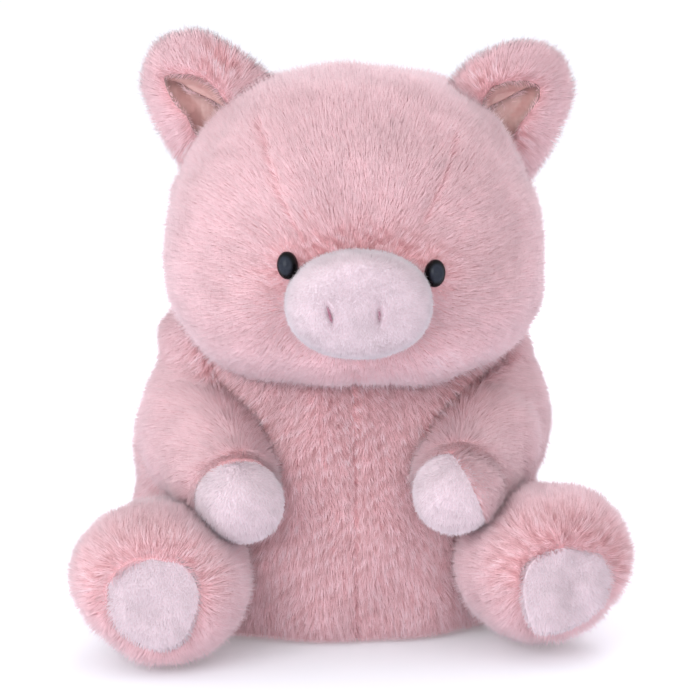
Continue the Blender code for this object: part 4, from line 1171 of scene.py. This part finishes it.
def make_ear(label):
    side = SIDES[label]
    body = "ear_" + label
    place = ear_place(label)
    points, faces = ear_skin(label)
    add_piece("ear_hide_" + label, points, faces, HIDE, body, "fur_pink", ("ear_back_" + label,), 0.4)
    roots, ways = scatter(points, faces, normals_of(points, faces), FUR_DENSITY * EAR_THICKNESS, 401 + side)
    local = within(place, roots)
    depth, _ = lining_gaps(label, local)
    front = local[:, 1] < 0.0
    keep = ~(front & (depth > -0.0002)) & ~inside_upright(roots, HEAD, -0.012)
    roots, ways, local, depth, front = kept(keep, roots, ways, local, depth, front)
    centre = lining_outline(label).mean(axis=0)
    out = unit(np.stack([local[:, 0] - centre[0], np.zeros(len(local)), local[:, 2] - centre[1]], axis=1))
    out[:, 2] += 0.30
    comb = out @ np.array(place.to_3x3()).T
    # painted reddish shade: a little all over, more round the lining's edge and in the ears' patches on the
    # front
    edge = fading(-depth, 0.0030) * front
    reddish_shade = 0.06 + 0.30 * edge + shade_patches(roots, EAR_SHADE_PATCHES) * front
    strands("ear_fur_" + label, body, "fur_pink", roots, ways, comb, PILE * (1.0 - 0.30 * edge), FUR_COLOUR,
            410 + side, lean=0.62 - 0.30 * edge, reddish_shade=reddish_shade)
    make_lining(label, place)


def make_lining(label, place):
    """Satin sheet sunk in the ear's cup, with painted shade just under its fold and at its rim."""
    x, z, _ = outline_disc(lining_outline(label), 44, 180)
    rings = np.stack([x, np.zeros(x.shape), z], axis=-1)
    rings[..., 1] = lining_level(label, rings.reshape(-1, 3)).reshape(x.shape)
    sheet = np.concatenate([rings[::-1] + (0.0, SATIN_THICK, 0.0), rings])
    points, faces = skin_of(moved(place, sheet))
    depth, gap = lining_gaps(label, within(place, points))
    shade = 1.0 - 0.32 * bell(gap, 0.0030) * (gap < 0.0) - 0.30 * fading(depth, 0.0014)
    nodes = ("ear_lining_" + label,)
    add_piece("ear_satin_" + label, points, faces, SATIN, "ear_" + label, "satin_lining", nodes,
              tint=np.repeat(shade[:, None], 3, axis=1))


# Arms

PAW_INSET = 0.0031
# the cuff of the left paw ends along this line of the photograph, in pixels down and across
CUFF_LINE = ((432.0, 458.0, 482.0, 528.0), (440.0, 456.0, 471.0, 491.0))


def limb_skin(form, inset, count, segments, last):
    return skin_of(rounded_ends(limb_rings(form, -inset, count, segments), 0.004, last, 10))


def arm_skin(label):
    points, faces = limb_skin(ARMS[label], INSET, 120, 140, 0.0016)
    normals = normals_of(points, faces)
    return pushed(points, normals, 0.0008 * ripple(points, 0.045, 61 + SIDES[label])), faces


def make_arm(label):
    side = SIDES[label]
    form = ARMS[label]
    body = "arm_" + label
    place, length = limb_place(form)
    points, faces = ARM_SKINS[label]
    points = merged(points, ARM_SURFACES[label], TORSO_SURFACE, shoulder_reach(points, label))
    local = within(place, points)
    share = local[:, 2] / length
    local[:, :2] *= (1.0 - 0.20 * smoothstep(PAW_SHARE - 0.02, PAW_SHARE + 0.03, share))[:, None]
    local[:, 2] -= 0.0050 * smoothstep(PAW_SHARE, 1.0, share)
    root, tip = np.array(form["root"]), np.array(form["tip"])
    bend = ("torso", tuple(root - 0.10 * (tip - root)), tuple(root + 0.55 * (tip - root)))
    nodes = ("arm_skin_" + label, "arm_stuffing_" + label)
    add_piece("arm_hide_" + label, moved(place, local), faces, HIDE, body, "fur_pink", nodes, 0.7, bend)
    roots, ways = scatter(points, faces, normals_of(points, faces), FUR_DENSITY, 501 + side)
    share = within(place, roots)[:, 2] / length
    keep = (share < PAW_SHARE + (0.012 if side > 0 else -0.01)) & ~inside_upright(roots, TORSO, -0.042)
    keep &= ~inside_upright(roots, HEAD, -0.016)
    pressed = inside_upright(roots, TORSO, -INSET - 0.0015) | inside_upright(roots, HEAD, -0.006)
    roots, ways, share, pressed = kept(thinned(keep, pressed), roots, ways, share, pressed)
    comb = np.stack([0.25 * roots[:, 0] / 0.09, np.zeros(len(roots)), np.full(len(roots), -0.8)], axis=1)
    edge = smoothstep(PAW_SHARE - 0.07, PAW_SHARE - 0.02, share)
    comb = comb + unit(tip - root) * (2.0 * edge - 0.6)[:, None]
    near = smoothstep(PAW_SHARE - 0.10, PAW_SHARE, share)
    # painted reddish shade: a little all over, more towards the paw, in the creases beside the body and in
    # the body's patches
    reddish_shade = 0.05 + 0.08 * near + 0.40 * arm_crease(roots, ways, 8.0) + body_shade(roots, ways)
    strands("arm_fur_" + label, body, "fur_pink", roots, ways, comb, PILE * (1.0 - 0.30 * near), FUR_COLOUR,
            510 + side, pressed, wander=0.18, reddish_shade=reddish_shade, bend=bend)
    make_paw(label, body, place, length)


def make_paw(label, body, place, length):
    """Paler cap on the end of an arm; the left one has a cuff of fur over its outer half."""
    side = SIDES[label]
    points, faces = limb_skin(dict(ARMS[label], shares=PAW_SHARES), PAW_INSET, 150, 140, 0.0018)
    local = within(place, points)
    tuck = smoothstep(PAW_SHARE + 0.03, PAW_SHARE - 0.03, local[:, 2] / length)
    local[:, :2] *= (1.0 - 0.12 * tuck)[:, None]
    start = (PAW_SHARE - 0.04) * length
    local[:, 2] = np.maximum(local[:, 2], start)
    faces = faces[local[faces][..., 2].max(axis=1) > start + 1e-6]
    used, places = np.unique(faces, return_inverse=True)
    points, faces = moved(place, local)[used], places.reshape(faces.shape)
    add_piece("paw_hide_" + label, points, faces, PAD_HIDE, body, "pad_pink", ("paw_pad_" + label,), 0.8)
    roots, ways = scatter(points, faces, normals_of(points, faces), 2.6e6, 531 + side)
    share = within(place, roots)[:, 2] / length
    padded = share > PAW_SHARE - 0.02
    if side > 0:
        spots = pixels_of(roots)
        past = spots[:, 0] - np.interp(spots[:, 1], *CUFF_LINE)
        cuff = (share > PAW_SHARE - 0.036) & (past > -1.5)
        padded &= ~cuff
        # painted reddish shade along the cuff's edge
        strands("cuff_fur_left", body, "fur_pink", roots[cuff], ways[cuff], np.array([0.25, 0.0, -1.0]),
                PILE * 0.9, FUR_COLOUR, 545, lean=0.55, reddish_shade=0.06 + 0.30 * bell(past[cuff], 5.0))
    roots, ways = roots[padded], unit(ways[padded] + 0.6 * axis_of(place, 2))
    strands("paw_nap_" + label, body, "pad_pink", roots, ways, np.array([0.10 * side, 0.25, -1.0]),
            PAD_NAP_LENGTH, PAD_COLOUR, 540 + side, **PAD_NAP)


# Legs

# outlines of the soles' pads, in pixels of the photograph
SOLE_SPOTS = {
    "right": ((106, 584), (129, 566), (150, 558), (177, 564), (192, 582), (195, 602), (188, 624), (180, 640),
              (162, 648), (137, 642), (118, 628), (106, 606)),
    "left": ((528, 588), (531, 570), (547, 554), (569, 548), (587, 550), (602, 556), (611, 568), (612, 583),
             (602, 604), (585, 618), (564, 627), (546, 632), (536, 626), (530, 607)),
}
SOLE_LEVEL = -0.0015
SOLE_DROPS = {"left": 0.0085, "right": 0.0040}
LEG_SWELLS = {"left": 0.0022, "right": 0.0045}


def sole_place(label):
    tip = Vector(LEGS[label]["tip"])
    place = outward_place(tip, tip - Vector(LEGS[label]["root"]))
    return place @ Matrix.Translation((-0.002 * SIDES[label], -SOLE_DROPS[label], 0.0))


def sole_edge(outline, sole, points):
    """How far points lie outside the sole's pad, in metres, and their places on the sole."""
    local = within(sole, points)
    return -outline_depth(local[:, :2], outline), local


def leg_skin(label, outline, sole):
    """The leg's bag: fuller above the sole, trimmed under it, with a groove round the sole's pad."""
    side = SIDES[label]
    place, length = limb_place(LEGS[label])
    points, faces = limb_skin(LEGS[label], INSET, 130, 170, 0.0015)
    normals = normals_of(points, faces)
    points = pushed(points, normals, 0.0009 * ripple(points, 0.045, 71 + side))
    for rise, power, amount in ((0.7, 1.5, LEG_SWELLS[label]), (-0.7, 4, -0.0034)):
        facing = np.clip(normals @ unit(np.array([0.9 * side, 0.0, rise])), 0.0, 1.0) ** power
        facing = facing * smoothstep(0.45, 0.75, within(place, points)[:, 2] / length)
        points = pushed(points, normals, amount * facing)
    edge, local = sole_edge(outline, sole, points)
    groove = bell(edge - 0.0012, 0.0028) * (local[:, 2] > -0.014)
    under = smoothstep(0.0010, -0.0030, edge) * (local[:, 2] > -0.014)
    points = pushed(points, normals, -0.0014 * groove) - axis_of(sole, 2) * (0.0045 * under)[:, None]
    points[:, 2] = np.maximum(points[:, 2], 0.0012)
    return points, faces


def make_leg(label):
    side = SIDES[label]
    body = "leg_" + label
    sole = sole_place(label)
    outline = onto_plane(SOLE_SPOTS[label], sole, SOLE_LEVEL, 2)
    points, faces = leg_skin(label, outline, sole)
    nodes = ("leg_skin_" + label, "leg_stuffing_" + label)
    add_piece("leg_hide_" + label, points, faces, HIDE, body, "fur_pink", nodes, 0.8)
    roots, ways = scatter(points, faces, normals_of(points, faces), FUR_DENSITY, 601 + side)
    edge, local = sole_edge(outline, sole, roots)
    front = local[:, 2] > -0.016
    keep = ~(front & (edge < -0.0002)) & ~inside_upright(roots, TORSO, -0.028) & ~resting(roots, ways, 0.0025)
    roots, ways, local, edge, front = kept(keep, roots, ways, local, edge, front)
    away = unit(local[:, :2] - outline.mean(axis=0)) @ np.array([axis_of(sole, 0), axis_of(sole, 1)])
    ahead = axis_of(limb_place(LEGS[label])[0], 2)
    comb = -ahead + away * (0.9 * front)[:, None] + np.array([0.0, 0.0, -0.10])
    near = fading(edge, 0.0030) * front
    length = PILE * (1.0 - 0.25 * near) * np.where(inside_upright(roots, TORSO, -0.008), PRESSED, 1.0)
    # painted reddish shade, a little all over the leg and more on the top of the foot above the sole; the
    # left foot's top is also painted darker
    over = fading(edge, 0.0160) * front * smoothstep(-0.010, 0.014, local[:, 1])
    reddish_shade = 0.10 + (0.70 if side > 0 else 0.45) * over * (1.0 - 0.6 * near)
    # painted light on the inner side of each leg, which faces the body
    inner = np.clip(-side * ways[:, 0], 0.0, 1.0) * (0.12 if side < 0 else 0.05)
    colour = np.array(FUR_COLOUR) * (1.0 + inner - (0.09 if side > 0 else 0.0) * over)[:, None]
    strands("leg_fur_" + label, body, "fur_pink", roots, ways, comb, length, colour, 610 + side,
            lean=0.64 - 0.36 * near, wander=0.42, reddish_shade=reddish_shade)
    make_sole(label, body, outline, sole)


def make_sole(label, body, outline, sole):
    """Round pad: a crowned disc of short pile, sewn in all round."""
    side = SIDES[label]
    x, y, radii = outline_disc(outline, 40, 120)
    rings = np.stack([x, y, -0.0042 + 0.0036 * (1.0 - radii**2.8) * np.ones(x.shape)], axis=-1)
    back = rings[::-1].copy()
    back[..., 2] = -0.0090
    points, faces = skin_of(moved(sole, np.concatenate([back, rings])))
    points = points + axis_of(sole, 2) * (0.0005 * ripple(points, 0.018, 81 + side))[:, None]
    add_piece("sole_patch_" + label, points, faces, PAD_HIDE, body, "pad_pink", ("sole_pad_" + label,), 0.7)
    roots, ways = scatter(points, faces, normals_of(points, faces), 2.8e6, 631 + side)
    local = within(sole, roots)
    roots, ways, local = kept(local[:, 2] > -0.0062, roots, ways, local)
    comb = np.stack([local[:, 0] / 0.020 * 0.3, np.zeros(len(roots)), np.full(len(roots), -1.0)], axis=1)
    strands("sole_nap_" + label, body, "pad_pink", roots, ways, comb, PAD_NAP_LENGTH, PAD_COLOUR,
            640 + side, **PAD_NAP)


# Tail

TAIL_ROOT = np.array([0.0, 0.0647, 0.056])
TAIL_RADIUS = 0.0035
TAIL_CURL = 0.0090
TAIL_TURNS = 0.90


def make_tail():
    """One loose turn of a curl that leaves the seat's back and winds to the side."""
    sides = 28
    share = np.linspace(0.0, 1.0, 70)
    angle = math.tau * TAIL_TURNS * share
    middle = TAIL_ROOT + np.stack([
        TAIL_CURL * np.sin(angle),
        0.0100 * smoothstep(0.0, 0.12, share) + share * 0.0100,
        TAIL_CURL * (1.0 - np.cos(angle)),
    ], axis=1)
    middle[0, 1] -= 0.0030
    way = unit(np.gradient(middle, axis=0))
    across = unit(np.cross(way, np.array([0.0, 1.0, 0.1])))
    up = np.cross(across, way)
    ring = oval(sides)
    radius = TAIL_RADIUS * (1.0 - 0.35 * share)
    around = across[:, None] * ring[None, :, :1] + up[:, None] * ring[None, :, 1:]
    points, faces = skin_of(rounded_ends(middle[:, None] + around * radius[:, None, None], 0.0, 0.0022))
    normals = normals_of(points, faces)
    nearest = np.argmin(np.linalg.norm(points[:, None] - middle[None], axis=2), axis=1)
    if ((points - middle[nearest]) * normals).sum() < 0:
        faces, normals = faces[:, ::-1], -normals
    add_piece("tail_hide", points, faces, HIDE, "tail", "fur_pink", ("tail",), 0.7)
    roots, ways = scatter(points, faces, normals, FUR_DENSITY * TAIL_THICKNESS, 701)
    nearest = np.argmin(np.linalg.norm(roots[:, None] - middle[None], axis=2), axis=1)
    strands("tail_fur", "tail", "fur_pink", roots, ways, way[nearest], 0.0042, FUR_COLOUR, 710,
            lean=0.75, width=0.00042, clump_size=0.0030)


TORSO_SKIN = torso_skin()
TORSO_SURFACE = surface_of(*TORSO_SKIN)
ARM_SKINS = {label: arm_skin(label) for label in SIDES}
ARM_SURFACES = {label: surface_of(*ARM_SKINS[label]) for label in SIDES}

make_torso()
make_seat()
make_neck()
make_head()
make_snout()
for label in SIDES:
    make_eye(label)
    make_ear(label)
    make_arm(label)
    make_leg(label)
make_tail()

# Stage

FLOOR_GLOW = 0.14
FLOOR_BOUNCE = 0.22
FLOOR_HALF = 6.0
SKY_LIGHT = 1.01


def floor_nodes(tree):
    return {
        "Base Color": mixed(tree, noise(tree, 3.0), (0.88, 0.895, 0.96), (0.90, 0.915, 0.98)),
        "Roughness": 0.9,
        "Specular IOR Level": 0.0,
    }


corners = np.array([[-1, -1, 0], [1, -1, 0], [1, 1, 0], [-1, 1, 0]], float) * FLOOR_HALF
floor_material = material_of("floor", floor_nodes)
tree = floor_material.node_tree
# the floor glows a little less to the camera than to the pig, which keeps its shadow
camera_ray = node(tree, "LightPath", "Is Camera Ray", {})
glow_and_reflection = ranged(tree, camera_ray, FLOOR_BOUNCE, FLOOR_GLOW, 0.0, 1.0)
shine = node(tree, "Emission", "Emission", {"Color": (1.0, 1.0, 1.0, 1.0), "Strength": glow_and_reflection})
both = node(tree, "AddShader", "Shader", {0: tree.nodes["Principled BSDF"].outputs["BSDF"], 1: shine})
connect(tree, tree.nodes["Material Output"], {"Surface": both})
floor = mesh_object("floor", corners, np.array([[0, 1, 2], [0, 2, 3]]), floor_material)

world = bpy.data.worlds.new("world")
bpy.context.scene.world = world
world.use_nodes = True
sky = world.node_tree
rays = [node(sky, "LightPath", name, {}) for name in ("Is Camera Ray", "Is Transmission Ray")]
seen = node(sky, "Math", "Value", {0: rays[0], 1: rays[1]}, operation="MAXIMUM")
strength = ranged(sky, seen, SKY_LIGHT, 1.0, 0.0, 1.0)
connect(sky, sky.nodes["Background"], {"Color": (1.0, 1.0, 1.0, 1.0), "Strength": strength})


def area_light(name, place, target, size, power, colour):
    data = bpy.data.lights.new(name, "AREA")
    data.shape = "DISK"
    data.size = size
    data.energy = power
    data.color = colour
    lamp = bpy.data.objects.new(name, data)
    bpy.context.scene.collection.objects.link(lamp)
    lamp.location = place
    lamp.rotation_euler = (Vector(target) - Vector(place)).to_track_quat("-Z", "Y").to_euler()


area_light("key", (-1.05, -1.50, 0.80), (0.0, 0.0, 0.14), 1.2, 16.5, (0.945, 1.0, 1.0))
area_light("fill", (0.50, -1.60, 0.24), (0.0, 0.0, 0.10), 0.8, 2.2, (1.0, 1.0, 1.0))
area_light("rim", (0.5, 1.1, 1.1), (0.0, 0.0, 0.16), 0.9, 8.0, (0.95, 0.96, 1.0))

bpy.context.scene.view_settings.view_transform = "Standard"
